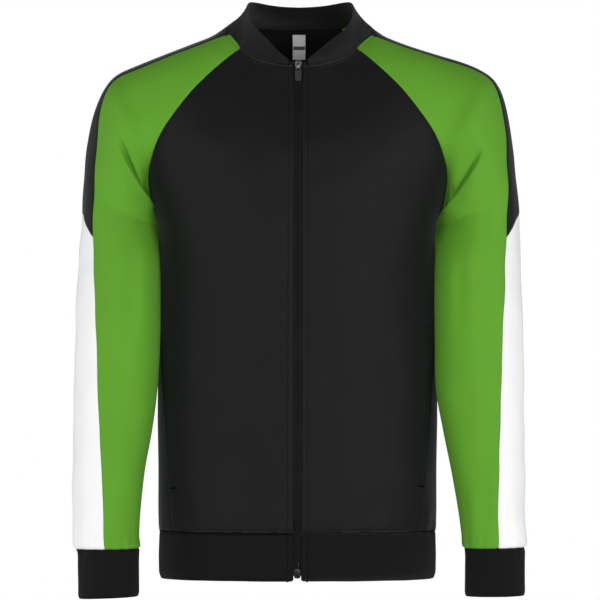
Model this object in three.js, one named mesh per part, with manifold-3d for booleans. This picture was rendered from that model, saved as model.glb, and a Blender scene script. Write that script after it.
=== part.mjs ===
// Full-zip raglan track jacket, filled out and empty, as it hangs on the shoulders.
// Millimetres. +Z up, the front faces -Y, the wearer's left is +X.
// The origin is the middle of the neck opening at the height of the shoulder-neck point.
import * as THREE from "three";
import { mergeVertices } from "three/addons/utils/BufferGeometryUtils.js";
import Module from "manifold-3d";

const wasm = await Module();
wasm.setup();

// ---------------------------------------------------------------- sizes
const CLOTH = 1.6;          // tricot panels
const RIB = 2.6;            // doubled rib of the collar, cuffs and hem band
const TAPE = 0.9;           // zip tape and neck tape
const LABEL = 0.8;          // blank woven label
const SEAM = 0.17;          // each piece stops this short of its seam line
const LYING = 0.3;          // gap between pieces that lie on each other
const ZIP_HALF = 5.6;       // folded front edge, from the zip's centre line
const TAPE_NECK = 7.6;      // and where they stand between the collar's ends
const TAPE_HALF = 11.5;     // reach of each zip tape behind its front
const COLLAR_START = 0.68;  // the collar's ends stand off the zip, by this share of the first cell
const HEM_TALL = 60;        // rib band below the body
const POCKET_TOP = -372;    // the pocket's side piece runs out into the side seam here
const JOIN = 11.2;          // row of the black and white join at the stripe's edges
const CHEVRON = 0.68;       // its rise at the stripe's middle, in rows
const NECK_FLARE = 5;       // the neck's ring leaves the shoulder outward by this much
const NECK_CORNER = 6.5;    // and is fuller half way to its front end
const TAPE_SHORT = 7;       // the zip stops this far above the hem's edge
const SLIDER = { w: 8.2, h: 10.5, t: 3.2, z: -52.5, off: 1.8, tilt: -13 };
const BRIDGE = { w: 2.0, t: 1.2, lift: 2.0, top: 0.6, foot: -6.2 };   // heights from the slider's middle
const PULL = { top: 5.6, low: 7.2, len: 19.6, t: 1.2, bar: 1.2, window: 5.2, windowW: 3.2, z: -3.2 };
const RETAINER = { w: 8.6, h: 12.4, t: 3.2, z: -686.6 };
const LABEL_X = 0.7;
const LABEL_W = 16;
const LABEL_Z = [-6.5, -38];
const NECK_TAPE = 9;

// ---------------------------------------------------------------- tables
const table = (heads, rows) => rows.map((r) => Object.fromEntries(heads.split(" ").map((h, i) => [h, r[i]])));

// How far the hollow form leans to the wearer's left, by height.
const SWAY = table("z x", [[-800, -1.7], [-640, -1.5], [-350, -1.1], [-100, -0.8], [-50, -0.4], [0, 1], [60, 1.4]]);
// One row for each cross line of the body, from the neck (0) over the armpit (10) to the hem seam (18).
// The centre points of the front and back, and the angle the cloth has turned through at its outer seam.
const BODY = table("frontY frontZ frontTurn backY backZ backTurn", [
  [-72, -53, 46, 66, 1.5, 28],
  [-80.5, -76, 38, 78, -30, 24],
  [-91.5, -98, 32, 91, -62, 23],
  [-102, -120, 30, 103, -92, 24],
  [-111.5, -143, 33, 113, -124, 30],
  [-117, -161, 40, 119, -150, 38],
  [-120.5, -179, 47, 123, -174, 49],
  [-123.5, -199, 57, 125, -198, 60],
  [-125, -219, 68, 126.5, -218, 72],
  [-126, -239, 80, 127, -238, 82],
  [-126.5, -258, 90, 127.5, -256, 90],
  [-126, -282, 90, 127, -282, 90],
  [-125, -320, 90, 126, -320, 90],
  [-123, -370, 90, 123, -370, 90],
  [-121.5, -430, 90, 119.5, -430, 90],
  [-120, -495, 90, 117, -495, 90],
  [-118.5, -560, 90, 115.5, -560, 90],
  [-116.5, -617, 90, 114, -617, 90],
  [-112.5, -636.5, 90, 110.5, -637, 90],
]);
// Side seam, rows 10 to 18.
const SIDE = table("x y z", [
  [177, 0, -254], [176, 0, -281], [175.4, 0, -320], [175.8, 0, -370], [177, 0, -430],
  [177.5, 0, -495], [176.5, 0, -560], [176.6, 0, -617], [175.2, 0, -639.5],
]);
// Raglan seams, rows 0 to 10, front and back.
const SEAM_FRONT = table("x y z", [
  [73.7, -43, -29.7], [92.8, -62, -46], [115, -76, -66.8], [134.4, -84, -87.3], [157.6, -86, -117.3],
  [172, -80, -139.5], [181, -70, -161.7], [186.8, -54, -186.2], [186, -37, -209.6], [181.3, -17, -234.3],
  [177, 0, -254],
]);
const SEAM_BACK = table("x y z", [
  [54, 57, 3.5], [76, 68, -22], [100, 80, -50], [122, 90, -78], [145, 95, -112],
  [159, 91, -138], [170, 81, -163], [177.5, 64, -188], [180.5, 43, -211], [179.5, 20, -234],
  [177, 0, -254],
]);
// Outer line of each sleeve, rows 0 (neck) to 10 (armpit), 20 (cuff seam) and 23 (cuff edge).
// front and back are the fullness of the two halves, close how far the fold at the armhole has closed,
// rightF, leftF and seamB where the stripe's two seams run between the outer line (0) and the far seam (1).
const CREST = table("rightX rightZ leftX leftZ y front back close rightF leftF seamB", [
  [85.7, 5, 91, -0.6, 5, 26, 28, 0, 0.6, 0.56, 0.42],
  [109.2, -11.1, 110.4, -12.9, 4, 31, 30, 0, 0.4, 0.375, 0.36],
  [136.7, -22.6, 139.9, -24.5, 2, 37, 37, 0, 0.355, 0.315, 0.32],
  [169.2, -35.4, 175.6, -35.8, 0, 42, 45, 0, 0.285, 0.25, 0.28],
  [203.1, -49.3, 207.7, -45.6, -3, 49, 54, 0.12, 0.235, 0.19, 0.27],
  [228.4, -61.1, 230.6, -55.3, -5, 56, 61, 0.3, 0.205, 0.17, 0.26],
  [243, -76, 247.8, -68.1, -7, 62, 66, 0.5, 0.19, 0.16, 0.26],
  [253.9, -97.3, 259.7, -90.6, -10, 66, 70, 0.7, 0.205, 0.16, 0.26],
  [261.8, -129.1, 267.8, -123.8, -13, 72, 74, 0.85, 0.232, 0.172, 0.26],
  [267.6, -169.8, 272.5, -169.7, -17, 78, 79, 0.95, 0.245, 0.195, 0.26],
  [271.1, -216.7, 278.1, -216.6, -21, 83, 83, 1, 0.256, 0.236, 0.26],
  [274.2, -258.5, 280.8, -258.4, -25, 80, 80, 1, 0.267, 0.266, 0.26],
  [276.9, -291.4, 281.7, -291.4, -28, 78.5, 78.5, 1, 0.287, 0.28, 0.26],
  [278.7, -336.9, 283, -336.9, -33, 77, 77, 1, 0.311, 0.299, 0.26],
  [280.4, -397.4, 283.9, -397.4, -39, 73, 73, 1, 0.342, 0.325, 0.25],
  [281.3, -457.8, 285, -457.8, -45, 68, 68, 1, 0.364, 0.344, 0.24],
  [280.9, -510.4, 284.8, -510.4, -50, 61, 61, 1, 0.396, 0.37, 0.23],
  [281.9, -560.5, 285.9, -560.5, -55, 55, 55, 1, 0.443, 0.412, 0.2],
  [281.4, -610.5, 285.3, -610.5, -59, 49, 49, 1, 0.477, 0.443, 0.19],
  [281.2, -645.5, 286.9, -645, -61, 45, 45, 1, 0.488, 0.459, 0.19],
  [278.3, -659.3, 284.9, -657, -62, 41, 41, 1, 0.485, 0.464, 0.19],
  [275, -666, 284.5, -664, -63, 37, 37, 1, 0.485, 0.464, 0.19],
  [274.8, -693, 285.4, -690, -64, 36, 36, 1, 0.485, 0.464, 0.19],
  [274.8, -720.2, 286, -716.2, -65, 36, 36, 1, 0.485, 0.464, 0.19],
]);
// Underarm line of each sleeve, rows 10 to 23.
const UNDER = table("rightX leftX y z", [
  [177, 177, 0, -254], [175.4, 175.2, -21, -279], [173.2, 172.6, -34, -303], [172.5, 172, -43, -342],
  [172.8, 172.5, -46, -400], [176, 173.8, -48, -458], [182.4, 182.8, -52, -510], [191.3, 192.9, -56, -560],
  [196.6, 201.7, -59, -610], [198.5, 206.4, -61, -645], [198.1, 208.5, -62, -658], [199.1, 210.4, -63, -665],
  [198.8, 210.6, -64, -692], [198, 209.8, -65, -717],
]);
// Top edge of the collar, by its share of the way from the zip to the back centre.
const COLLAR = table("at rightX leftX y z", [
  [0, 13.2, 13.2, -72.8, -46.6], [0.04, 17.6, 17, -70.5, -42.6], [0.1, 25.8, 24.6, -66, -36], [0.17, 38.6, 40.7, -58, -22],
  [0.245, 53.2, 57.8, -46, -8], [0.31, 63.5, 66.8, -32, 5], [0.4, 66.2, 69.7, -12, 20], [0.52, 65.5, 67, 8, 30],
  [0.65, 57, 58, 25, 32], [0.8, 38, 38.4, 38, 29.5], [0.9, 20, 20, 43.5, 27.8], [1, 0, 0, 45, 27],
]);
// Rib band below the body: drop from its seam, and how full it stands against the seam's ring.
const BAND = table("drop full", [[0, 1], [6, 1.001], [30, 1.005], [50, 1.003], [HEM_TALL, 0.999]]);
// Pocket line: distance of the front's cut edge from the centre, by height.
const POCKET = table("z x", [
  [-637, 157.5], [-585, 158.4], [-544, 161.6], [-498, 165], [-446, 169.3], [-410, 172], [POCKET_TOP, 174.6],
]);
// The largest soft folds: a line in the front view (z up), which face it is on, half width and depth (+ is a ridge).
const FOLDS = table("face x1 z1 x2 z2 wide deep", [
  ["front", -225, -150, -186, -226, 12, -5], ["front", -246, -230, -222, -400, 16, 2.5],
  ["front", -200, -300, -236, -520, 15, -2.5], ["front", 228, -160, 192, -222, 13, -5],
  ["front", 236, -230, 246, -440, 15, -3], ["front", 214, -280, 232, -520, 14, 2.5],
  ["front", -120, -330, -92, -600, 26, -2.5], ["front", 118, -300, 96, -590, 28, -2.5],
  ["front", 150, -560, 172, -624, 12, 3], ["back", -150, -210, -96, -420, 24, -4],
  ["back", 152, -205, 90, -430, 26, -4], ["back", -40, -330, -66, -600, 28, 3],
  ["back", 52, -350, 70, -610, 26, 2.5], ["back", -232, -240, -226, -470, 15, -3],
  ["back", 236, -250, 228, -450, 14, -3],
]);

// ---------------------------------------------------------------- the form
const V = (x, y, z) => new THREE.Vector3(x, y, z);
const clamp = (t, a, b) => Math.min(b, Math.max(a, t));
const smooth = (t) => { const k = clamp(t, 0, 1); return k * k * (3 - 2 * k); };

// Value of one column between rows, as a smooth curve through the rows.
function along(rows, key, at) {
  const i = clamp(Math.floor(at), 0, rows.length - 2), t = at - i;
  const g = (k) => rows[clamp(k, 0, rows.length - 1)][key];
  const [a, b, c, d] = [g(i - 1), g(i), g(i + 1), g(i + 2)];
  return b + 0.5 * t * (c - a + t * (2 * a - 5 * b + 4 * c - d + t * (3 * (b - c) + d - a)));
}
// Value of one column by straight steps over a key column.
function step(rows, key, value, at) {
  const up = rows[0][key] < rows[1][key] ? rows : [...rows].reverse();
  let i = 0;
  while (i < up.length - 2 && at > up[i + 1][key]) i++;
  const t = clamp((at - up[i][key]) / (up[i + 1][key] - up[i][key]), 0, 1);
  return up[i][value] + t * (up[i + 1][value] - up[i][value]);
}
const bez = (a, b, c, d, t) => {
  const s = 1 - t;
  return a.clone().multiplyScalar(s * s * s).addScaledVector(b, 3 * s * s * t)
    .addScaledVector(c, 3 * s * t * t).addScaledVector(d, t * t * t);
};

// Outer seam of the body at row v: raglan seam down to the armpit, then the side seam.
function bodySeam(back, v) {
  if (v <= 10) { const t = back ? SEAM_BACK : SEAM_FRONT; return V(along(t, "x", v), along(t, "y", v), along(t, "z", v)); }
  return V(along(SIDE, "x", v - 10), along(SIDE, "y", v - 10), along(SIDE, "z", v - 10));
}
// One cross line of the body on the +X side: level at the centre, turned by its angle at the seam.
function bodyLine(back, v) {
  const s = back ? 1 : -1, key = back ? "back" : "front";
  const c = V(back ? 0 : ZIP_HALF, along(BODY, key + "Y", v), along(BODY, key + "Z", v));
  const r = bodySeam(back, v);
  const turn = THREE.MathUtils.degToRad(clamp(along(BODY, key + "Turn", v), 5, 90));
  const reach = Math.abs(c.y - r.y) / Math.sin(turn);
  const qx = r.x - reach * Math.cos(turn);
  const k = 0.6 + 0.02 * smooth((v - 6) / 8);
  return { c, r, p1: V(c.x + k * (qx - c.x), c.y, c.z), p2: V(r.x + k * (qx - r.x), r.y + k * (c.y - r.y), r.z),
    end: V(3 * k * reach * Math.cos(turn), -s * 3 * k * reach * Math.sin(turn), 2 * (r.z - c.z)) };
}
function bodyPoint(back, v, u) {
  const l = bodyLine(back, v);
  const p = bez(l.c, l.p1, l.p2, l.r, u);
  p.z = l.c.z + (l.r.z - l.c.z) * u * u;
  return p;
}
// Where the pocket line crosses row v, as a share of the cross line.
function pocketAt(v) {
  const z = bodySeam(false, v).z;
  if (z >= POCKET_TOP - 1) return 1;
  const x = step(POCKET, "z", "x", z);
  let a = 0, b = 1;
  for (let i = 0; i < 40; i++) { const m = (a + b) / 2; if (bodyPoint(false, v, m).x < x) a = m; else b = m; }
  return (a + b) / 2;
}

// Outer line, far seam and one cross line of a sleeve. q runs from the front seam (-1) over the outer line (0) to the back seam (1).
const crest = (left, s) => V(along(CREST, left ? "leftX" : "rightX", s), along(CREST, "y", s), along(CREST, left ? "leftZ" : "rightZ", s));
function sleeveSeam(left, back, s) {
  if (s <= 10) return bodySeam(back, s);
  return V(along(UNDER, left ? "leftX" : "rightX", s - 10), along(UNDER, "y", s - 10), along(UNDER, "z", s - 10));
}
function sleevePoint(left, s, q) {
  const back = q > 0, dir = V(0, back ? 1 : -1, 0);
  const t = crest(left, s), f = sleeveSeam(left, back, s);
  const h = along(CREST, back ? "back" : "front", s);
  const close = clamp(along(CREST, "close", s), 0, 1);
  let d = dir.clone();
  if (close < 1) {
    const a = sleeveSeam(left, back, Math.max(0, s - 0.05)), b = sleeveSeam(left, back, s + 0.05);
    const n = bodyLine(back, s).end.clone().cross(b.sub(a)).normalize();
    const chord = t.clone().sub(f);
    const flat = chord.addScaledVector(n, -chord.dot(n)).normalize();
    d = flat.multiplyScalar(1 - close).addScaledVector(dir, close).normalize();
  }
  const lean = V((back ? -1 : 1) * NECK_FLARE * Math.max(0, 1 - s), 0, 0);
  const p = bez(t, t.clone().addScaledVector(dir, h).add(lean), f.clone().addScaledVector(d, h), f, Math.abs(q));
  if (!back) p.x += NECK_CORNER * Math.max(0, 1 - s) ** 2 * Math.sin(Math.PI * q) ** 2;
  return p;
}
const sway = (z) => step(SWAY, "z", "x", z);
// Soft folds, then the slight lean of the hollow form. Depends on the place only, so seams stay shut.
function settle(p) {
  const o = p.clone();
  for (const f of FOLDS) {
    if ((f.face === "front") !== (p.y < 0)) continue;
    const dx = f.x2 - f.x1, dz = f.z2 - f.z1, len = Math.hypot(dx, dz);
    const a = ((p.x - f.x1) * dx + (p.z - f.z1) * dz) / (len * len);
    const off = ((p.x - f.x1) * dz - (p.z - f.z1) * dx) / len;
    const fade = smooth(a / 0.3 + 0.5) * smooth((1 - a) / 0.3 + 0.5) * smooth(Math.abs(p.y) / 40);
    o.y += (p.y < 0 ? -1 : 1) * f.deep * fade * Math.exp(-((off / f.wide) ** 2));
  }
  o.x += sway(p.z);
  return o;
}
const onSide = (left, p) => settle(V(left ? p.x : -p.x, p.y, p.z));

// ---------------------------------------------------------------- grids and walls
const steps = (a, b, n) => Array.from({ length: n + 1 }, (_, i) => a + (b - a) * i / n);
const grid = (rows, cols, at) => rows.map((r) => cols.map((c) => at(r, c)));
// Outward directions of a grid, from its own neighbours.
function outward(g, sign, round = false) {
  const n = g.length, m = g[0].length;
  return g.map((row, i) => row.map((_, j) => {
    const dv = g[Math.min(n - 1, i + 1)][j].clone().sub(g[Math.max(0, i - 1)][j]);
    const a = round ? (j + m - 1) % m : Math.max(0, j - 1), b = round ? (j + 1) % m : Math.min(m - 1, j + 1);
    return g[i][b].clone().sub(g[i][a]).cross(dv).normalize().multiplyScalar(sign);
  }));
}
const panels = [];
const colours = { black: 0x2b2b2d, rib: 0x1c1c1e, green: 0x5f9f35, white: 0xf2f2f2, tape: 0x202022, steel: 0xb9bcc0, dark: 0x3c3d40 };
const finish = (c, rough = 0.8, metal = 0) => new THREE.MeshStandardMaterial({ color: colours[c], roughness: rough, metalness: metal });
function panel(name, colour, g, sign, { t = CLOTH, round = false, seams = "tblr", sink = 0 } = {}) {
  panels.push({ name, colour, g, n: outward(g, sign, round), t, round, seams, sink });
}
// Pieces that share a seam share its outward directions, so their walls meet without crossing.
function shareSeams() {
  const key = (p) => [p.x, p.y, p.z].map((v) => Math.round(v * 50)).join(",");
  const sum = new Map();
  const border = (p, i, j) => i === 0 || i === p.g.length - 1 || (!p.round && (j === 0 || j === p.g[0].length - 1));
  for (const p of panels) p.g.forEach((row, i) => row.forEach((pt, j) => {
    if (!border(p, i, j)) return;
    const k = key(pt);
    if (!sum.has(k)) sum.set(k, V(0, 0, 0));
    sum.get(k).add(p.n[i][j]);
  }));
  for (const p of panels) p.g.forEach((row, i) => row.forEach((pt, j) => {
    if (!border(p, i, j)) return;
    const s = sum.get(key(pt));
    if (s.length() > 0.35) p.n[i][j] = s.clone().normalize();
    else p.n[i][j] = V(0, 0, -1);
  }));
}
// Moves the edges of a grid in by the seam's share.
function inset(p) {
  const { g, round, seams } = p, n = g.length, m = g[0].length;
  const out = g.map((r) => r.map((q) => q.clone()));
  // Square to the seam line (from a to b), towards the neighbour inside.
  // The fold at the armpit (rows 8 to 10) closes so sharply that it takes a little more.
  const pull = (i, j, k, l, a, b) => {
    const d = g[k][l].clone().sub(g[i][j]), t = b.clone().sub(a).normalize();
    const reach = d.length();
    d.addScaledVector(t, -d.dot(t)).normalize();
    out[i][j].addScaledVector(d, Math.min(n > 18 && i >= 8 && i <= 10 ? 2 * SEAM : SEAM, 0.3 * reach));
  };
  for (let j = 0; j < m; j++) {
    const [a, b] = round ? [(j + m - 1) % m, (j + 1) % m] : [Math.max(0, j - 1), Math.min(m - 1, j + 1)];
    if (seams.includes("t")) pull(0, j, 1, j, g[0][a], g[0][b]);
    if (seams.includes("b")) pull(n - 1, j, n - 2, j, g[n - 1][a], g[n - 1][b]);
  }
  if (!round) for (let i = 0; i < n; i++) {
    const a = Math.max(0, i - 1), b = Math.min(n - 1, i + 1);
    if (seams.includes("l")) pull(i, 0, i, 1, g[a][0], g[b][0]);
    if (seams.includes("r")) pull(i, m - 1, i, m - 2, g[a][m - 1], g[b][m - 1]);
  }
  return out;
}
function wall(p) {
  const g = inset(p), n = g.length, m = g[0].length, pos = [], idx = [];
  const outer = (i, j) => i * m + (p.round ? j % m : j), inner = (i, j) => n * m + outer(i, j);
  for (let i = 0; i < n; i++) for (let j = 0; j < m; j++) { const q = g[i][j].clone().addScaledVector(p.n[i][j], -p.sink); pos.push(q.x, q.y, q.z); }
  for (let i = 0; i < n; i++) for (let j = 0; j < m; j++) { const q = g[i][j].clone().addScaledVector(p.n[i][j], -p.sink - p.t); pos.push(q.x, q.y, q.z); }
  const quad = (a, b, c, d) => idx.push(a, b, c, a, c, d);
  const cells = p.round ? m : m - 1;
  for (let i = 0; i < n - 1; i++) for (let j = 0; j < cells; j++) {
    quad(outer(i, j), outer(i + 1, j), outer(i + 1, j + 1), outer(i, j + 1));
    quad(inner(i, j), inner(i, j + 1), inner(i + 1, j + 1), inner(i + 1, j));
  }
  for (let j = 0; j < cells; j++) {
    quad(outer(0, j), outer(0, j + 1), inner(0, j + 1), inner(0, j));
    quad(outer(n - 1, j + 1), outer(n - 1, j), inner(n - 1, j), inner(n - 1, j + 1));
  }
  if (!p.round) for (let i = 0; i < n - 1; i++) {
    quad(outer(i + 1, 0), outer(i, 0), inner(i, 0), inner(i + 1, 0));
    quad(outer(i, m - 1), outer(i + 1, m - 1), inner(i + 1, m - 1), inner(i, m - 1));
  }
  return closed(pos, idx);
}
// A closed mesh with its faces pointing out.
function closed(pos, idx) {
  let vol = 0;
  const at = (k) => V(pos[3 * k], pos[3 * k + 1], pos[3 * k + 2]);
  for (let k = 0; k < idx.length; k += 3) vol += at(idx[k]).dot(at(idx[k + 1]).cross(at(idx[k + 2])));
  if (vol < 0) for (let k = 0; k < idx.length; k += 3) [idx[k + 1], idx[k + 2]] = [idx[k + 2], idx[k + 1]];
  const geo = new THREE.BufferGeometry();
  geo.setAttribute("position", new THREE.Float32BufferAttribute(pos, 3));
  geo.setIndex(idx);
  return geo;
}

const jacket = new THREE.Group();
jacket.name = "track_jacket";
function add(name, geo, material) {
  const mesh = new THREE.Mesh(geo, material);
  mesh.name = name;
  jacket.add(mesh);
  return mesh;
}

// ---------------------------------------------------------------- cloth pieces
const FRONT_CELLS = 7, SIDE_CELLS = 2, BACK_CELLS = 7, GREEN_CELLS = 6, STRIPE_CELLS = 4;
const bodyRows = steps(0, 18, 18);
const topPocket = 13;       // last row above the pocket's side piece
const hemRing = { right: [], left: [] }, neckRing = { right: [], left: [] };

for (const left of [false, true]) {
  const w = left ? "left" : "right", sign = left ? 1 : -1;
  const hem = hemRing[w], neck = neckRing[w];
  // Front, from the zip to the raglan seam, the side seam and the pocket line.
  const front = bodyRows.map((v) => steps(0, pocketAt(v), FRONT_CELLS).map((u) => onSide(left, bodyPoint(false, v, u))));
  panel("front_" + w, "black", front, -sign);
  // Side piece behind the pocket opening.
  const sideRows = steps(topPocket + 1, 18, 17 - topPocket);
  const side = sideRows.map((v) => steps(pocketAt(v), 1, SIDE_CELLS).map((k) => onSide(left, bodyPoint(false, v, k))));
  const tip = onSide(left, bodyPoint(false, topPocket, 1));
  side.unshift(steps(0, 1, SIDE_CELLS).map((k) => tip.clone().lerp(side[0][0].clone().lerp(side[0][SIDE_CELLS], k), 0.12)));
  panel("pocket_side_" + w, "black", side, -sign);
  hem.push(...front[18], ...side[side.length - 1].slice(1));
  neck.push(...front[0]);

  // Sleeve: green front, stripe, green back.
  const sRows = [...steps(0, 11, 11), JOIN, ...steps(12, 20, 8)];
  const seamF = (s) => along(CREST, left ? "leftF" : "rightF", s), seamB = (s) => along(CREST, "seamB", s);
  const sf = sRows.map((s) => steps(-1, -seamF(s), GREEN_CELLS).map((q) => onSide(left, sleevePoint(left, s, q))));
  const sb = sRows.map((s) => steps(seamB(s), 1, GREEN_CELLS).map((q) => onSide(left, sleevePoint(left, s, q))));
  panel("sleeve_front_" + w, "green", sf, -sign);
  panel("sleeve_back_" + w, "green", sb, -sign);
  // Stripe: black above, white below, joined in a shallow chevron.
  const join = (k) => JOIN - CHEVRON * (1 - Math.abs(2 * k - 1) ** 1.8);
  const stripeAt = (s, k) => onSide(left, sleevePoint(left, s, -seamF(s) + (seamF(s) + seamB(s)) * k));
  const ks = steps(0, 1, STRIPE_CELLS);
  const upper = [...steps(0, 11, 11), JOIN].map((i) => ks.map((k) => stripeAt(i * join(k) / JOIN, k)));
  const lower = [JOIN, ...steps(12, 20, 8)].map((i) => ks.map((k) => stripeAt(20 - (20 - i) * (20 - join(k)) / (20 - JOIN), k)));
  panel("stripe_upper_" + w, "black", upper, -sign);
  panel("stripe_lower_" + w, "white", lower, -sign);
  neck.push(...sf[0].slice(1), ...upper[0].slice(1), ...sb[0].slice(1));

  // Cuff: a rib tube on the sleeve's last ring.
  const ringQ = [...steps(-1, -seamF(20), GREEN_CELLS), ...steps(-seamF(20), seamB(20), STRIPE_CELLS).slice(1), ...steps(seamB(20), 1, GREEN_CELLS).slice(1, -1)];
  const cuff = steps(20, 23, 3).map((s) => ringQ.map((q) => onSide(left, sleevePoint(left, s, q))));
  panel("cuff_" + w, "rib", cuff, -sign, { t: RIB, round: true, seams: "t" });
}
// Back, in one piece from side to side.
const acrossBack = [...steps(-1, 0, BACK_CELLS), ...steps(0, 1, BACK_CELLS).slice(1)];
const back = bodyRows.map((v) => acrossBack.map((k) => onSide(k > 0, bodyPoint(true, v, Math.abs(k)))));
panel("back", "black", back, 1);

// Hem band: once round, open at the zip.
const hemLine = [...hemRing.right, ...back[18].slice(1, -1), ...[...hemRing.left].reverse()];
const hemMid = V(sway(-640), 0, 0);
panel("hem_band", "rib", BAND.map((b) => hemLine.map((p) => V(
  Math.abs(p.x - hemMid.x) < 8 ? p.x : hemMid.x + (p.x - hemMid.x) * b.full, p.y * b.full, p.z - b.drop))), 1, { t: RIB, seams: "tlr" });

// Collar: from zip to zip round the neck, narrow at the zip and leaning in.
for (const r of Object.values(neckRing)) r[0] = r[0].clone().lerp(r[1], COLLAR_START);
const neckLine = [...neckRing.right, ...back[0].slice(1, -1), ...[...neckRing.left].reverse()];
const backMid = (neckLine.length - 1) / 2;
const lengths = [0];
for (let i = 1; i < neckLine.length; i++) lengths.push(lengths[i - 1] + neckLine[i].distanceTo(neckLine[i - 1]));
const half = lengths[backMid];
function collarEdge(i) {
  const near = i <= backMid ? lengths[i] / half : (lengths[lengths.length - 1] - lengths[i]) / (lengths[lengths.length - 1] - half);
  let r = 0;
  while (r < COLLAR.length - 2 && near > COLLAR[r + 1].at) r++;
  const at = r + (near - COLLAR[r].at) / (COLLAR[r + 1].at - COLLAR[r].at);
  const x = i < backMid ? -along(COLLAR, "rightX", at) : along(COLLAR, "leftX", at);
  const p = V(i === backMid ? 0 : x, along(COLLAR, "y", at), along(COLLAR, "z", at));
  p.x += sway(p.z);
  return p;
}
const collar = steps(0, 1, 4).map((h) => neckLine.map((s, i) => {
  const e = collarEdge(i);
  const k = V(s.x + 0.72 * (e.x - s.x), s.y + 0.72 * (e.y - s.y), s.z + 0.34 * (e.z - s.z));
  return s.clone().multiplyScalar((1 - h) ** 2).addScaledVector(k, 2 * h * (1 - h)).addScaledVector(e, h * h);
}));
panel("collar", "rib", collar, -1, { t: RIB, seams: "tlr" });

shareSeams();
for (const p of panels) add(p.name, wall(p), finish(p.colour));

// ---------------------------------------------------------------- zip
// Each tape follows the front's centre line from the collar's top to the bottom of the band.
const centreLine = bodyRows.map((v) => settle(V(0, along(BODY, "frontY", v), along(BODY, "frontZ", v))));
const tapeRows = [];
centreLine.forEach((p, i) => {
  const y = p.y + CLOTH + LYING + (i === 18 ? RIB - CLOTH : 0);
  if (i === 0) tapeRows.push({ x: p.x, y, z: p.z + 6.2, w: TAPE_NECK }, { x: p.x, y, z: p.z + 0.6, w: TAPE_NECK }, { x: p.x, y: y - 1.2, z: p.z - 3, w: TAPE_HALF });
  else tapeRows.push({ x: p.x, y, z: p.z, w: TAPE_HALF });
});
const low = centreLine[18];
for (const b of BAND.slice(1)) tapeRows.push({ x: low.x, y: low.y * b.full + RIB + LYING, z: low.z - b.drop + (b.drop === HEM_TALL ? TAPE_SHORT : 0), w: TAPE_HALF });
for (const left of [false, true]) {
  const s = left ? 1 : -1, pos = [], idx = [];
  tapeRows.forEach((p) => {
    for (const [dx, dy] of [[0.4, 0], [p.w, 0.25], [p.w, 0.25 + TAPE], [0.4, TAPE]]) pos.push(p.x + s * dx, p.y + dy, p.z);
  });
  const n = tapeRows.length;
  for (let i = 0; i < n - 1; i++) for (let k = 0; k < 4; k++) {
    const a = 4 * i + k, b = 4 * i + (k + 1) % 4;
    idx.push(a, b, b + 4, a, b + 4, a + 4);
  }
  idx.push(0, 2, 1, 0, 3, 2, 4 * n - 4, 4 * n - 3, 4 * n - 2, 4 * n - 4, 4 * n - 2, 4 * n - 1);
  add("zip_tape_" + (left ? "left" : "right"), closed(pos, idx), finish("tape"));
}

// Solids for joining by booleans.
function solid(geo) {
  const g = geo.clone();
  g.deleteAttribute("normal"); g.deleteAttribute("uv");
  const m = mergeVertices(g, 1e-5);
  return new wasm.Manifold(new wasm.Mesh({ numProp: 3, vertProperties: new Float32Array(m.attributes.position.array), triVerts: new Uint32Array(m.index.array) }));
}
function meshOf(man) {
  const m = man.getMesh(), geo = new THREE.BufferGeometry();
  geo.setAttribute("position", new THREE.BufferAttribute(new Float32Array(m.vertProperties), 3));
  geo.setIndex(new THREE.BufferAttribute(new Uint32Array(m.triVerts), 1));
  return geo;
}
// A flat plate standing in the XZ plane, from its outline, thickness t towards -Y from y.
function plate(outline, y, t) {
  const sh = new THREE.Shape(outline.map(([x, z]) => new THREE.Vector2(x, z)));
  const geo = new THREE.ExtrudeGeometry(sh, { depth: t, bevelEnabled: false });
  geo.rotateX(Math.PI / 2);
  geo.translate(0, y, 0);
  return geo;
}
const cut = (w, h, c, z) => [[-w / 2 + c, z - h / 2], [w / 2 - c, z - h / 2], [w / 2, z - h / 2 + c], [w / 2, z + h / 2 - c], [w / 2 - c, z + h / 2], [-w / 2 + c, z + h / 2], [-w / 2, z + h / 2 - c], [-w / 2, z - h / 2 + c]];

// The slider stands at the top of the zip, leaning as the chest does. Its own origin is the middle of its back face.
const tilt = THREE.MathUtils.degToRad(SLIDER.tilt);
const sliderAt = V(centreLine[0].x, tapeRows[1].y - SLIDER.off, SLIDER.z);
const face = -SLIDER.t;
const bridgeMid = (BRIDGE.top + BRIDGE.foot) / 2, bridgeLong = BRIDGE.top - BRIDGE.foot;
const slider = solid(plate(cut(SLIDER.w, SLIDER.h, 2, 0), 0, SLIDER.t))
  .add(solid(plate(cut(BRIDGE.w, bridgeLong, 0.5, bridgeMid), face - BRIDGE.lift, BRIDGE.t)))
  .add(solid(plate(cut(BRIDGE.w, 1.2, 0.3, BRIDGE.top - 0.6), face + 0.4, BRIDGE.lift + 0.8)))
  .add(solid(plate(cut(BRIDGE.w, 1.2, 0.3, BRIDGE.foot + 0.6), face + 0.4, BRIDGE.lift + 0.8)))
  .add(solid(plate(cut(BRIDGE.w, 3, 0.6, BRIDGE.foot + 1.5), face + 2, 2)));
const sliderMesh = add("slider", meshOf(slider), finish("steel", 0.3, 0.9));
sliderMesh.position.copy(sliderAt);
sliderMesh.rotation.x = tilt;

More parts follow.
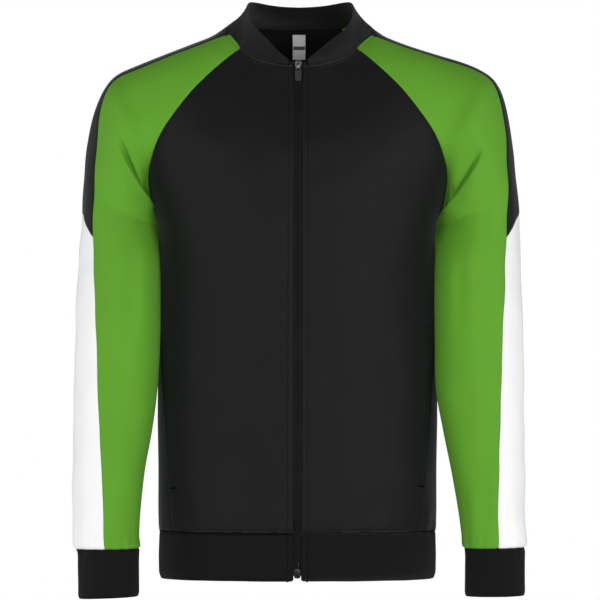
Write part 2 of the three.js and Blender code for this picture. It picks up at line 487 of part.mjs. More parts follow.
// Pull tab: a plate whose top bar turns under the slider's bridge. Its own origin is the middle of that bar.
const zt = PULL.bar / 2, zw = zt - PULL.bar - PULL.window, ze = zt - PULL.len;
const pullOutline = [[-PULL.top / 2 + 0.8, zt], [PULL.top / 2 - 0.8, zt], [PULL.top / 2, zt - 0.8], [PULL.top / 2 + 0.5, zw], [4.1, zw - 2.2], [PULL.low / 2, ze + 1.2], [PULL.low / 2 - 1.2, ze], [-PULL.low / 2 + 1.2, ze], [-PULL.low / 2, ze + 1.2], [-4.1, zw - 2.2], [-PULL.top / 2 - 0.5, zw], [-PULL.top / 2, zt - 0.8]];
const pullHole = [[-PULL.windowW / 2, -zt], [-PULL.windowW / 2, zw], [PULL.windowW / 2, zw], [PULL.windowW / 2, -zt]];
const pull = add("pull_tab", meshOf(solid(plate(pullOutline, PULL.t / 2, PULL.t)).subtract(solid(plate(pullHole, PULL.t, 2 * PULL.t)))), finish("dark", 0.6, 0.1));
pull.position.copy(V(0, face - BRIDGE.lift / 2, PULL.z).applyAxisAngle(V(1, 0, 0), tilt).add(sliderAt));
pull.rotation.x = tilt;

// Retainer box at the foot of the zip, in front of the tapes.
const foot = tapeRows[tapeRows.length - 2];
add("retainer_box", plate(cut(RETAINER.w, RETAINER.h, 1.4, RETAINER.z), foot.y - LYING, RETAINER.t), finish("steel", 0.35, 0.8)).position.x = foot.x;

// ---------------------------------------------------------------- inside the neck
// Neck tape on the inner face of the back, just below the collar seam.
const neckCols = acrossBack;
const tapeDepth = [0.06, NECK_TAPE / 30];
const neckTape = { name: "neck_tape", g: tapeDepth.map((v) => neckCols.map((k) => onSide(k > 0, bodyPoint(true, v, Math.abs(k) * 0.985)))), t: TAPE, round: false, seams: "", sink: CLOTH + LYING };
neckTape.n = outward(neckTape.g, 1);
add("neck_tape", wall(neckTape), finish("tape"));
// Blank label, hanging free from the tape.
const tapeY = 66 - CLOTH - LYING - TAPE;
const labelGeo = closed(
  LABEL_Z.flatMap((z, i) => [[-1, 0], [1, 0], [1, LABEL], [-1, LABEL]].map(([sx, d]) => [LABEL_X + sx * LABEL_W / 2, tapeY - 2.2 + i * 3 + d, z])).flat(),
  [0, 1, 5, 0, 5, 4, 1, 2, 6, 1, 6, 5, 2, 3, 7, 2, 7, 6, 3, 0, 4, 3, 4, 7, 0, 2, 1, 0, 3, 2, 4, 5, 6, 4, 6, 7]);
add("label", labelGeo, finish("white"));

export default jacket;
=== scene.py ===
# Full-zip raglan track jacket, filled out and empty: the finished cloth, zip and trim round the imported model.
import math

import bpy
import bmesh
import numpy as np
from mathutils import Vector, Matrix


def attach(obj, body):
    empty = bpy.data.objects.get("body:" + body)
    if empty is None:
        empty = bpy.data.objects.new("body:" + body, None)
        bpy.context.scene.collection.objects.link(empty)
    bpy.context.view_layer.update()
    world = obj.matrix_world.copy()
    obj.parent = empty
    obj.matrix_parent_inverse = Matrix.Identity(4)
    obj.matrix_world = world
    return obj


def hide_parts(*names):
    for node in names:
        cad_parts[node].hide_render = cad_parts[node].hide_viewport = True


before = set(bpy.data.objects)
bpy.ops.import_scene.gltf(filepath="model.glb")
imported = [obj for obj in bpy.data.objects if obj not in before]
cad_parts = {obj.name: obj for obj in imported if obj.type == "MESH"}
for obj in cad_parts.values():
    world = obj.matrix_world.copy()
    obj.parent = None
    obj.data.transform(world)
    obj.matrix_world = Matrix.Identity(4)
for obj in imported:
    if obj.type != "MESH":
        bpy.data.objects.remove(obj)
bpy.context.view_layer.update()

# ---------------------------------------------------------------- sizes, in millimetres, in the model's frame
CLOTH = 1.3          # tricot as it looks, on the model's wall
RIB = 2.4
ZIP_HALF = 5.6
TAPE_NECK, TAPE_HALF = 10.5, 11.5
COLLAR_START = 0.68
HEM_TALL = 60.0
POCKET_TOP = -372.0
JOIN, CHEVRON = 11.2, 0.68
NECK_FLARE, NECK_CORNER = 5.0, 6.5    # the neck's ring leaves the shoulder outward, and is fuller half way to its front end
SLIDER = dict(w=8.2, h=10.5, t=3.2, z=-52.5, off=1.8, tilt=-13.0)
BRIDGE = dict(w=2.0, t=1.2, lift=2.0, top=0.6, foot=-6.2)
PULL = dict(top=5.6, low=7.2, len=19.6, t=1.2, bar=1.2, window=5.2, windowW=3.2, z=-3.2)
RETAINER = dict(w=8.6, h=12.4, t=3.2, z=-686.6)
LABEL_X, LABEL_W, LABEL_Z = 0.7, 16.0, (-6.5, -38.0)
NECK_TAPE = 7.5
TAPE_SHORT = 7.0     # the zip stops this far above the hem's edge
CAD_CLOTH, CAD_RIB, TAPE, LYING = 1.6, 2.6, 0.9, 0.3
STITCH_ZIP = 6.4     # topstitch from the front's folded edge
STITCH_NECK = 4.8    # topstitch below the collar's seam
FINE = 2.5           # spacing of the surface's points
COARSE = 3.2


def table(heads, rows):
    a = np.array(rows, float)
    return {h: a[:, i] for i, h in enumerate(heads.split())}


# How far the hollow form leans to its left, by height.
SWAY = table("z x", [[-800, -1.7], [-640, -1.5], [-350, -1.1], [-100, -0.8], [-50, -0.4], [0, 1.0], [60, 1.4]])
# One row for each cross line of the body, from the neck (0) over the armpit (10) to the hem seam (18).
BODY = table("frontY frontZ frontTurn backY backZ backTurn", [
    [-72, -53, 46, 66, 1.5, 28], [-80.5, -76, 38, 78, -30, 24], [-91.5, -98, 32, 91, -62, 23],
    [-102, -120, 30, 103, -92, 24], [-111.5, -143, 33, 113, -124, 30], [-117, -161, 40, 119, -150, 38],
    [-120.5, -179, 47, 123, -174, 49], [-123.5, -199, 57, 125, -198, 60], [-125, -219, 68, 126.5, -218, 72],
    [-126, -239, 80, 127, -238, 82], [-126.5, -258, 90, 127.5, -256, 90], [-126, -282, 90, 127, -282, 90],
    [-125, -320, 90, 126, -320, 90], [-123, -370, 90, 123, -370, 90], [-121.5, -430, 90, 119.5, -430, 90],
    [-120, -495, 90, 117, -495, 90], [-118.5, -560, 90, 115.5, -560, 90], [-116.5, -617, 90, 114, -617, 90],
    [-112.5, -636.5, 90, 110.5, -637, 90],
])
SIDE = table("x y z", [
    [177, 0, -254], [176, 0, -281], [175.4, 0, -320], [175.8, 0, -370], [177, 0, -430],
    [177.5, 0, -495], [176.5, 0, -560], [176.6, 0, -617], [175.2, 0, -639.5],
])
SEAM_FRONT = table("x y z", [
    [73.7, -43, -29.7], [92.8, -62, -46], [115, -76, -66.8], [134.4, -84, -87.3], [157.6, -86, -117.3],
    [172, -80, -139.5], [181, -70, -161.7], [186.8, -54, -186.2], [186, -37, -209.6], [181.3, -17, -234.3],
    [177, 0, -254],
])
SEAM_BACK = table("x y z", [
    [54, 57, 3.5], [76, 68, -22], [100, 80, -50], [122, 90, -78], [145, 95, -112],
    [159, 91, -138], [170, 81, -163], [177.5, 64, -188], [180.5, 43, -211], [179.5, 20, -234],
    [177, 0, -254],
])
# Outer line of each sleeve: neck (0), armpit (10), cuff seam (20), cuff edge (23).
CREST = table("rightX rightZ leftX leftZ y front back close rightF leftF seamB", [
    [85.7, 5, 91, -0.6, 5, 26, 28, 0, 0.6, 0.56, 0.42],
    [109.2, -11.1, 110.4, -12.9, 4, 31, 30, 0, 0.4, 0.375, 0.36],
    [136.7, -22.6, 139.9, -24.5, 2, 37, 37, 0, 0.355, 0.315, 0.32],
    [169.2, -35.4, 175.6, -35.8, 0, 42, 45, 0, 0.285, 0.25, 0.28],
    [203.1, -49.3, 207.7, -45.6, -3, 49, 54, 0.12, 0.235, 0.19, 0.27],
    [228.4, -61.1, 230.6, -55.3, -5, 56, 61, 0.3, 0.205, 0.17, 0.26],
    [243, -76, 247.8, -68.1, -7, 62, 66, 0.5, 0.19, 0.16, 0.26],
    [253.9, -97.3, 259.7, -90.6, -10, 66, 70, 0.7, 0.205, 0.16, 0.26],
    [261.8, -129.1, 267.8, -123.8, -13, 72, 74, 0.85, 0.232, 0.172, 0.26],
    [267.6, -169.8, 272.5, -169.7, -17, 78, 79, 0.95, 0.245, 0.195, 0.26],
    [271.1, -216.7, 278.1, -216.6, -21, 83, 83, 1, 0.256, 0.236, 0.26],
    [274.2, -258.5, 280.8, -258.4, -25, 80, 80, 1, 0.267, 0.266, 0.26],
    [276.9, -291.4, 281.7, -291.4, -28, 78.5, 78.5, 1, 0.287, 0.28, 0.26],
    [278.7, -336.9, 283, -336.9, -33, 77, 77, 1, 0.311, 0.299, 0.26],
    [280.4, -397.4, 283.9, -397.4, -39, 73, 73, 1, 0.342, 0.325, 0.25],
    [281.3, -457.8, 285, -457.8, -45, 68, 68, 1, 0.364, 0.344, 0.24],
    [280.9, -510.4, 284.8, -510.4, -50, 61, 61, 1, 0.396, 0.37, 0.23],
    [281.9, -560.5, 285.9, -560.5, -55, 55, 55, 1, 0.443, 0.412, 0.2],
    [281.4, -610.5, 285.3, -610.5, -59, 49, 49, 1, 0.477, 0.443, 0.19],
    [281.2, -645.5, 286.9, -645, -61, 45, 45, 1, 0.488, 0.459, 0.19],
    [278.3, -659.3, 284.9, -657, -62, 41, 41, 1, 0.485, 0.464, 0.19],
    [275, -666, 284.5, -664, -63, 37, 37, 1, 0.485, 0.464, 0.19],
    [274.8, -693, 285.4, -690, -64, 36, 36, 1, 0.485, 0.464, 0.19],
    [274.8, -720.2, 286, -716.2, -65, 36, 36, 1, 0.485, 0.464, 0.19],
])
UNDER = table("rightX leftX y z", [
    [177, 177, 0, -254], [175.4, 175.2, -21, -279], [173.2, 172.6, -34, -303], [172.5, 172, -43, -342],
    [172.8, 172.5, -46, -400], [176, 173.8, -48, -458], [182.4, 182.8, -52, -510], [191.3, 192.9, -56, -560],
    [196.6, 201.7, -59, -610], [198.5, 206.4, -61, -645], [198.1, 208.5, -62, -658], [199.1, 210.4, -63, -665],
    [198.8, 210.6, -64, -692], [198, 209.8, -65, -717],
])
COLLAR = table("at rightX leftX y z", [
    [0, 13.2, 13.2, -72.8, -46.6], [0.04, 17.6, 17, -70.5, -42.6], [0.1, 25.8, 24.6, -66, -36], [0.17, 38.6, 40.7, -58, -22],
    [0.245, 53.2, 57.8, -46, -8], [0.31, 63.5, 66.8, -32, 5], [0.4, 66.2, 69.7, -12, 20], [0.52, 65.5, 67, 8, 30],
    [0.65, 57, 58, 25, 32], [0.8, 38, 38.4, 38, 29.5], [0.9, 20, 20, 43.5, 27.8], [1, 0, 0, 45, 27],
])
BAND = table("drop full", [[0, 1], [6, 1.001], [30, 1.005], [50, 1.003], [HEM_TALL, 0.999]])
POCKET = table("z x", [
    [-637, 157.5], [-585, 158.4], [-544, 161.6], [-498, 165], [-446, 169.3], [-410, 172], [POCKET_TOP, 174.6],
])
FRONT, BACK = -1, 1
# The model's own large folds: a line in the front view, half width and depth (+ is a ridge).
FOLDS = table("face x1 z1 x2 z2 wide deep", [
    [FRONT, -225, -150, -186, -226, 12, -5], [FRONT, -246, -230, -222, -400, 16, 2.5],
    [FRONT, -200, -300, -236, -520, 15, -2.5], [FRONT, 228, -160, 192, -222, 13, -5],
    [FRONT, 236, -230, 246, -440, 15, -3], [FRONT, 214, -280, 232, -520, 14, 2.5],
    [FRONT, -120, -330, -92, -600, 26, -2.5], [FRONT, 118, -300, 96, -590, 28, -2.5],
    [FRONT, 150, -560, 172, -624, 12, 3], [BACK, -150, -210, -96, -420, 24, -4],
    [BACK, 152, -205, 90, -430, 26, -4], [BACK, -40, -330, -66, -600, 28, 3],
    [BACK, 52, -350, 70, -610, 26, 2.5], [BACK, -232, -240, -226, -470, 15, -3],
    [BACK, 236, -250, 228, -450, 14, -3],
])
# Creases laid on top of them. bow bends the line to its right, in mm.
# step 0 is a soft ridge or trough; step 1 a fold whose right-hand side (seen along the line, from outside) stands up.
SOFT, STEP = 0, 1
CREASES = table("face x1 z1 x2 z2 bow wide deep step", [
    # folds that run from the armholes up the sleeves
    [FRONT, -206, -120, -184, -206, 3, 11, -2.2, SOFT], [FRONT, -238, -140, -204, -240, 4, 11, 2.4, SOFT],
    [FRONT, 212, -118, 196, -204, -3, 12, -2.6, SOFT], [FRONT, 244, -126, 210, -236, 4, 11, 2.6, SOFT],
    # long soft ripples down the sleeves
    [FRONT, -246, -170, -240, -300, 4, 9, 1.2, SOFT], [FRONT, -206, -248, -214, -360, -4, 10, -1.4, SOFT],
    [FRONT, -190, -262, -196, -420, 3, 9, 1.3, SOFT], [FRONT, -228, -330, -240, -480, -5, 12, -1.2, SOFT],
    [FRONT, -214, -420, -226, -640, 5, 10, 1.2, SOFT], [FRONT, -244, -500, -246, -650, 3, 9, 1.0, SOFT],
    [FRONT, -206, -560, -214, -662, -2, 8, -1.3, SOFT], [FRONT, -262, -380, -264, -560, 2, 9, 0.9, SOFT],
    [FRONT, 249, -120, 241, -262, -4, 8, 1.6, SOFT], [FRONT, 232, -190, 222, -300, 3, 8, 1.2, SOFT],
    [FRONT, 206, -262, 202, -400, 4, 9, -1.3, SOFT], [FRONT, 190, -270, 192, -380, -2, 8, 1.2, SOFT],
    [FRONT, 252, -300, 256, -470, -4, 10, 1.1, SOFT], [FRONT, 224, -430, 236, -640, -4, 10, -1.3, SOFT],
    [FRONT, 244, -520, 250, -655, 3, 9, 1.1, SOFT], [FRONT, 216, -560, 222, -660, 2, 8, 1.2, SOFT],
    # broad soft lights down the body
    [FRONT, -62, -170, -54, -520, 8, 26, 1.3, SOFT], [FRONT, -104, -220, -110, -420, -5, 20, 1.2, SOFT],
    [FRONT, 60, -160, 66, -500, -6, 26, 1.3, SOFT], [FRONT, 112, -230, 118, -470, 6, 20, 1.1, SOFT],
    [FRONT, -34, -300, -30, -620, 4, 15, -1.0, SOFT], [FRONT, 34, -260, 30, -600, -4, 15, -1.0, SOFT],
    [FRONT, -148, -236, -122, -330, 6, 12, -1.3, SOFT], [FRONT, 154, -232, 126, -330, -6, 12, -1.3, SOFT],
    [FRONT, -150, -560, -118, -628, -4, 9, 1.2, SOFT], [FRONT, -96, -570, -84, -632, 3, 8, -0.9, SOFT],
    [FRONT, 98, -566, 86, -630, -3, 8, -0.9, SOFT], [FRONT, 152, -590, 168, -627, 0, 4, 1.0, SOFT],
    [FRONT, -136, -400, -150, -520, 4, 13, 0.9, SOFT], [FRONT, 140, -390, 150, -510, -4, 13, 0.9, SOFT],
    # the back
    [BACK, -222, -140, -180, -228, -5, 16, -2.8, STEP], [BACK, 224, -146, 182, -232, 5, 16, 2.8, STEP],
    [BACK, -190, -190, -178, -236, 2, 6, -1.3, STEP], [BACK, 192, -194, 180, -238, -2, 6, 1.3, STEP],
    [BACK, -168, -196, -120, -262, 8, 13, 1.8, SOFT], [BACK, 168, -190, 116, -262, -8, 13, 1.8, SOFT],
    [BACK, -24, -90, 26, -96, 3, 16, -1.2, SOFT], [BACK, -60, -250, -30, -330, 5, 20, 1.3, SOFT],
    [BACK, 72, -240, 40, -340, -5, 20, 1.3, SOFT], [BACK, -110, -440, -124, -620, -6, 18, 1.8, SOFT],
    [BACK, 116, -430, 108, -625, 6, 18, 1.7, SOFT], [BACK, 6, -420, -8, -626, 6, 17, -1.6, SOFT],
    [BACK, -148, -540, -140, -632, 3, 10, -1.5, SOFT], [BACK, 150, -545, 142, -632, -3, 10, -1.4, SOFT],
    [BACK, -80, -560, -84, -634, 3, 9, 1.2, SOFT], [BACK, 34, -565, 40, -634, -3, 9, 1.2, SOFT],
    [BACK, -246, -260, -250, -400, 4, 10, 1.5, SOFT], [BACK, 250, -240, 254, -400, -4, 10, 1.5, SOFT],
    [BACK, -205, -270, -212, -420, -4, 10, 1.4, SOFT], [BACK, 206, -275, 210, -430, 4, 10, 1.4, SOFT],
    [BACK, -232, -480, -238, -650, 4, 10, -1.4, SOFT], [BACK, 232, -470, 244, -652, -4, 10, -1.4, SOFT],
    [BACK, -252, -560, -252, -655, 2, 8, 1.1, SOFT], [BACK, 258, -560, 262, -655, -2, 8, 1.1, SOFT],
])
# The same on the outer side of the sleeves, as lines in the side view.
RIGHT, LEFT = -1, 1
# Sharp folds on the front of the sleeves, deepest where they run into the armhole seam: a line in the front view, the
# width of the standing side, its height (+ on the line's right) and the depth of the pinch at its foot.
PINCHES = table("side x1 z1 x2 z2 bow wide tall pinch", [
    [RIGHT, -229, -136, -180, -227, 3.5, 20, 3.6, 7.0], [RIGHT, -194, -182, -184, -224, 1, 8, 1.4, 4.0],
    [LEFT, 232, -150, 180.5, -232, -4.5, 20, -3.6, 7.0], [LEFT, 191, -200, 186, -228, -1, 8, -1.4, 4.0],
])
SIDE_CREASES = table("side y1 z1 y2 z2 bow wide deep", [
    [RIGHT, -18, -110, -10, -240, 5, 12, 1.5], [RIGHT, -44, -180, -34, -330, -4, 11, -1.3],
    [RIGHT, 6, -250, -30, -430, 5, 12, -1.5], [RIGHT, -56, -330, -70, -520, 4, 11, 1.3],
    [RIGHT, -30, -470, -58, -640, 5, 11, 1.4], [RIGHT, -76, -540, -80, -656, 2, 9, -1.2],
    [LEFT, -20, -120, -14, -230, -4, 12, 1.5], [LEFT, -40, -170, -44, -320, 4, 11, -1.3],
    [LEFT, 0, -260, -26, -440, -5, 12, -1.5], [LEFT, -60, -340, -66, -500, -3, 11, 1.3],
    [LEFT, -34, -480, -54, -640, -5, 11, 1.4], [LEFT, -78, -550, -82, -656, -2, 9, -1.2],
])
# Low, slow unevenness of the whole cloth: height and waves per metre along x, y, z.
WAVES = table("deep x y z turn", [
    [0.34, 11, 5, 7, 0.4], [0.28, -7, 9, 13, 1.9], [0.22, 17, -8, 6, 3.1], [0.16, 9, 14, -19, 4.6], [0.12, 26, 5, 15, 5.2],
])


# ---------------------------------------------------------------- the form, as the model has it
def along(tab, key, at):
    col, at = tab[key], np.asarray(at, float)
    n = len(col)
    i = np.clip(np.floor(at).astype(int), 0, n - 2)
    t = at - i
    g = lambda k: col[np.clip(k, 0, n - 1)]
    a, b, c, d = g(i - 1), g(i), g(i + 1), g(i + 2)
    return b + 0.5 * t * (c - a + t * (2 * a - 5 * b + 4 * c - d + t * (3 * (b - c) + d - a)))


def smooth(t):
    k = np.clip(t, 0, 1)
    return k * k * (3 - 2 * k)


def pt(*v):
    return np.stack(np.broadcast_arrays(*v), -1).astype(float)


def unit(v):
    return v / np.maximum(np.linalg.norm(v, axis=-1, keepdims=True), 1e-12)


def bez(a, b, c, d, t):
    t = np.asarray(t)[..., None]
    s = 1 - t
    return a * s ** 3 + b * 3 * s * s * t + c * 3 * s * t * t + d * t ** 3


def body_seam(back, v):
    v = np.asarray(v, float)
    t, m = (SEAM_BACK if back else SEAM_FRONT), np.maximum(v - 10, 0)
    upper = pt(along(t, "x", v), along(t, "y", v), along(t, "z", v))
    lower = pt(along(SIDE, "x", m), along(SIDE, "y", m), along(SIDE, "z", m))
    return np.where((v <= 10)[..., None], upper, lower)


def body_line(back, v):
    s, key = (1, "back") if back else (-1, "front")
    c = pt(0.0 if back else ZIP_HALF, along(BODY, key + "Y", v), along(BODY, key + "Z", v))
    r = body_seam(back, v)
    turn = np.radians(np.clip(along(BODY, key + "Turn", v), 5, 90))
    reach = np.abs(c[..., 1] - r[..., 1]) / np.sin(turn)
    qx = r[..., 0] - reach * np.cos(turn)
    k = 0.6 + 0.02 * smooth((np.asarray(v) - 6) / 8)
    p1 = pt(c[..., 0] + k * (qx - c[..., 0]), c[..., 1], c[..., 2])
    p2 = pt(r[..., 0] + k * (qx - r[..., 0]), r[..., 1] + k * (c[..., 1] - r[..., 1]), r[..., 2])
    end = pt(3 * k * reach * np.cos(turn), -s * 3 * k * reach * np.sin(turn), 2 * (r[..., 2] - c[..., 2]))
    return c, p1, p2, r, end


def body_point(back, v, u):
    v, u = np.broadcast_arrays(np.asarray(v, float), np.asarray(u, float))
    c, p1, p2, r, _ = body_line(back, v)
    p = bez(c, p1, p2, r, u)
    p[..., 2] = c[..., 2] + (r[..., 2] - c[..., 2]) * u * u
    return p


def pocket_at(v):
    v = np.asarray(v, float)
    z = body_seam(False, v)[..., 2]
    x = np.interp(z, POCKET["z"], POCKET["x"])
    a, b = np.zeros(v.shape), np.ones(v.shape)
    for _ in range(36):
        m = (a + b) / 2
        low = body_point(False, v, m)[..., 0] < x
        a, b = np.where(low, m, a), np.where(low, b, m)
    return np.where(z >= POCKET_TOP - 1, 1.0, (a + b) / 2)


def crest(left, s):
    w = "left" if left else "right"
    return pt(along(CREST, w + "X", s), along(CREST, "y", s), along(CREST, w + "Z", s))


def sleeve_seam(left, back, s):
    s = np.asarray(s, float)
    m = np.maximum(s - 10, 0)
    lower = pt(along(UNDER, "leftX" if left else "rightX", m), along(UNDER, "y", m), along(UNDER, "z", m))
    return np.where((s <= 10)[..., None], body_seam(back, np.clip(s, 0, 10)), lower)


def sleeve_point(left, s, q):
    s, q = np.broadcast_arrays(np.asarray(s, float), np.asarray(q, float))
    out = np.zeros(s.shape + (3,))
    for back in (False, True):
        m = (q > 0) if back else (q <= 0)
        if not m.any():
            continue
        ss, qq = s[m], q[m]
        way = np.array([0, 1.0 if back else -1.0, 0])
        t, f = crest(left, ss), sleeve_seam(left, back, ss)
        h = along(CREST, "back" if back else "front", ss)[..., None]
        close = np.clip(along(CREST, "close", ss), 0, 1)[..., None]
        a, b = sleeve_seam(left, back, np.maximum(0, ss - 0.05)), sleeve_seam(left, back, ss + 0.05)
        n = unit(np.cross(body_line(back, np.minimum(ss, 18))[4], b - a))
        chord = t - f
        flat = unit(chord - n * (chord * n).sum(-1, keepdims=True))
        d = np.where(close < 1, unit(flat * (1 - close) + way * close), way)
        lean = -way[1] * NECK_FLARE * np.maximum(0, 1 - ss)[..., None] * np.array([1.0, 0, 0])
        out[m] = bez(t, t + way * h + lean, f + d * h, f, np.abs(qq))
        if not back:
            out[m] += (NECK_CORNER * np.maximum(0, 1 - ss) ** 2 * np.sin(np.pi * qq) ** 2)[..., None] * np.array([1.0, 0, 0])
    return out


def sway(z):
    return np.interp(z, SWAY["z"], SWAY["x"])


def settle(p):
    o, y, f = p.copy(), p[..., 1], FOLDS
    for face, x1, z1, x2, z2, wide, deep in zip(*(f[k] for k in "face x1 z1 x2 z2 wide deep".split())):
        dx, dz = x2 - x1, z2 - z1
        ln = math.hypot(dx, dz)
        a = ((p[..., 0] - x1) * dx + (p[..., 2] - z1) * dz) / ln ** 2
        off = ((p[..., 0] - x1) * dz - (p[..., 2] - z1) * dx) / ln
        fade = smooth(a / 0.3 + 0.5) * smooth((1 - a) / 0.3 + 0.5) * smooth(np.abs(y) / 40)
        o[..., 1] += np.where((face < 0) == (y < 0), np.where(y < 0, -1, 1) * deep * fade * np.exp(-(off / wide) ** 2), 0)
    o[..., 0] += sway(p[..., 2])
    return o


# The finer creases depend on the place alone, as the folds do, so pieces stay joined at their seams.
def crease(a, off, wide, deep, step):
    if step:
        w = np.where(off > 0, wide, 0.55 * wide)
        shape = np.tanh(off / 1.3) * np.exp(-np.abs(off) / w) * 0.75
    else:
        shape = np.exp(-(off / wide) ** 2)
    return deep * shape * (smooth(a / 0.5) * smooth((1.04 - a) / 0.12) if step else smooth(a / 0.45) * smooth((1 - a) / 0.3))


def on_line(x, z, x1, z1, x2, z2, bow):
    dx, dz = x2 - x1, z2 - z1
    ln = math.hypot(dx, dz)
    a = ((x - x1) * dx + (z - z1) * dz) / ln ** 2
    k = np.clip(a, 0, 1)
    return a, ((x - x1) * dz - (z - z1) * dx) / ln - bow * 4 * k * (1 - k)


def detail(p):
    x, y, z = p[..., 0], p[..., 1], p[..., 2]
    o, c = p.copy(), CREASES
    face = np.where(y < 0, -1, 1)
    near = smooth(np.abs(y) / 30)
    push = np.zeros(x.shape)
    for row in zip(*(c[k] for k in "face x1 z1 x2 z2 bow wide deep step".split())):
        a, off = on_line(x, z, *row[1:6])
        push += np.where(face == row[0], crease(a, off, row[6], row[7], row[8]) * near, 0)
    o[..., 1] += face * push
    c, side = SIDE_CREASES, np.where(x < 0, -1, 1)
    reach = smooth((np.abs(x) - 232) / 34)
    push = np.zeros(x.shape)
    for row in zip(*(c[k] for k in "side y1 z1 y2 z2 bow wide deep".split())):
        a, off = on_line(y, z, *row[1:6])
        push += np.where(side == row[0], crease(a, off, row[6], row[7], 0) * reach, 0)
    o[..., 0] += side * push
    w = sum(d * np.sin(6.2832e-3 * (kx * x + ky * y + kz * z) + t) for d, kx, ky, kz, t in
            zip(*(WAVES[k] for k in "deep x y z turn".split())))
    o[..., 1] += face * near * w
    o[..., 0] += side * reach * w
    # small puckers where the cloth is eased into the rib bands
    ang = np.arctan2(y, x + 1.5)
    ease = np.where(np.abs(x) < 187, np.exp(-np.abs(z + 637) / 15) * smooth(np.abs(x) / 50) * (z < -540), 0)
    ripple = (np.sin(29 * ang + 2.1 * np.sin(3 * ang)) + 0.7 * np.sin(47 * ang + 1.7)) * 0.55 * ease
    cx = np.where(x < 0, -237.0, 247.0)
    ring = np.arctan2(y + 63, x - cx)
    cuffed = np.where(np.abs(x) > 187, np.exp(-np.abs(z + 661) / 13) * (z < -560), 0)
    gather = (np.sin(13 * ring + 1.4 * np.sin(2 * ring + 0.6)) + 0.6 * np.sin(22 * ring + 0.4)) * 0.7 * cuffed
    o[..., 0] += np.cos(ang) * ripple + np.cos(ring) * gather
    o[..., 1] += np.sin(ang) * ripple + np.sin(ring) * gather
    return o


def pinched(side, p):
    d, c = np.zeros(p.shape[:-1]), PINCHES
    for row in zip(*(c[k] for k in "side x1 z1 x2 z2 bow wide tall pinch".split())):
        if row[0] == side:
            a, off = on_line(p[..., 0], p[..., 2], *row[1:6])
            run = smooth(a / 0.4) * smooth((1.06 - a) / 0.08)
            d += run * (row[7] * np.tanh(off / 1.6) * np.exp(-np.abs(off) / row[6]) - row[8] * np.exp(-(off / 2.1) ** 2))
    return d


def on_side(left, p):
    q = p.copy()
    if not left:
        q[..., 0] *= -1
    return settle(q)


# ---------------------------------------------------------------- grids of points
NEAR_SEAM = np.array([0.03, 0.35, 0.8, 1.4, 2.2, 3.4, 5.2])
NEAR_FREE = np.array([0.0, 0.3, 0.8, 1.6, 2.8, 4.2])
NEAR_ZIP = np.array([0.0, 0.35, 0.9, 1.8, 3.2, 4.7, 5.5, 6.0, STITCH_ZIP, 6.8, 7.3, 8.2, 9.8])
NEAR_NECK = np.array([0.03, 0.4, 0.9, 1.5, 2.2, 3.0, 3.8, 4.3, STITCH_NECK, 5.3, 5.9, 6.8, 8.2])
NEAR_BLOUSE = np.array([0.03, 0.4, 1.0, 1.8, 2.8, 4.2, 6.0, 8.2])


def lengths(p, axis):
    d = np.linalg.norm(np.diff(p, axis=axis), axis=-1)
    pad = [(0, 0)] * d.ndim
    pad[axis] = (1, 0)
    return np.pad(np.cumsum(d, axis=axis), pad)


def rows_for(f, lo, hi, u, top, bottom, step):
    k = np.linspace(lo, hi, 600)
    far = lengths(f(k, np.full(k.shape, u)), 0)
    n = max(2, round((far[-1] - top[-1] - bottom[-1]) / step))
    at = np.concatenate([top, np.linspace(top[-1], far[-1] - bottom[-1], n + 1)[1:-1], far[-1] - bottom[::-1]])
    return np.interp(at, far, k)


def cols_for(f, vs, u0, u1, first, last, step):
    k = np.linspace(0, 1, 141)
    us = np.broadcast_to(u0, vs.shape)[:, None] * (1 - k) + np.broadcast_to(u1, vs.shape)[:, None] * k
    far = lengths(f(vs[:, None] + 0 * us, us), 1)
    whole = far[:, -1]
    n = max(2, round((np.percentile(whole, 85) - first[-1] - last[-1]) / step))
    out = []
    for i in range(len(vs)):
        c = min(1.0, 0.4 * whole[i] / max(first[-1], last[-1]))
        at = np.concatenate([first * c, np.linspace(first[-1] * c, whole[i] - last[-1] * c, n + 1)[1:-1], whole[i] - last[::-1] * c])
        out.append(np.interp(at, far[i], us[i]))
    return np.array(out)


def normals(p, sign, ring=False):
    down = np.gradient(p, axis=0)
    if ring:
        across = np.roll(p, -1, 1) - np.roll(p, 1, 1)
    else:
        across = np.gradient(p, axis=1)
    return unit(np.cross(across, down)) * sign


def grid(f, lo, hi, u0, u1, top, bottom, first, last, step, mid=0.5):
    """Points of a panel, evenly spread, with the distance of each from its four edges."""
    vs = rows_for(f, lo, hi, mid, top, bottom, step)
    a = u0(vs) if callable(u0) else np.full(vs.shape, float(u0))
    b = u1(vs) if callable(u1) else np.full(vs.shape, float(u1))
    us = cols_for(f, vs, a, b, first, last, step)
    p = detail(f(vs[:, None] + 0 * us, us))
    return p, edges(p)


def edges(p):
    r, d = lengths(p, 1), lengths(p, 0)
    return dict(l=r, r=r[:, -1:] - r, t=d, b=d[-1:] - d)


def ditch(e, deep=0.9, wide=1.7):
    return -deep * np.exp(-(e / wide) ** 1.4)


def groove(e, at, deep=0.42, wide=0.8):
    return -deep * np.exp(-((e - at) / wide) ** 2)


def calm(p):
    """1 across the front, less round the sides and the back, where the cloth and the band run on in nearly one line."""
    return (1 - 0.6 * smooth((np.abs(p[..., 0]) - 120) / 40)) * (1 - 0.7 * smooth(p[..., 1] / 40))


def blouse(e, deep, proud, wide):
    """Cloth that hangs over a rib band: full just above the seam, then turned in under itself."""
    return proud * np.exp(-((e - wide) / wide) ** 2) - deep * np.exp(-(e / (0.16 * wide)) ** 1.8)


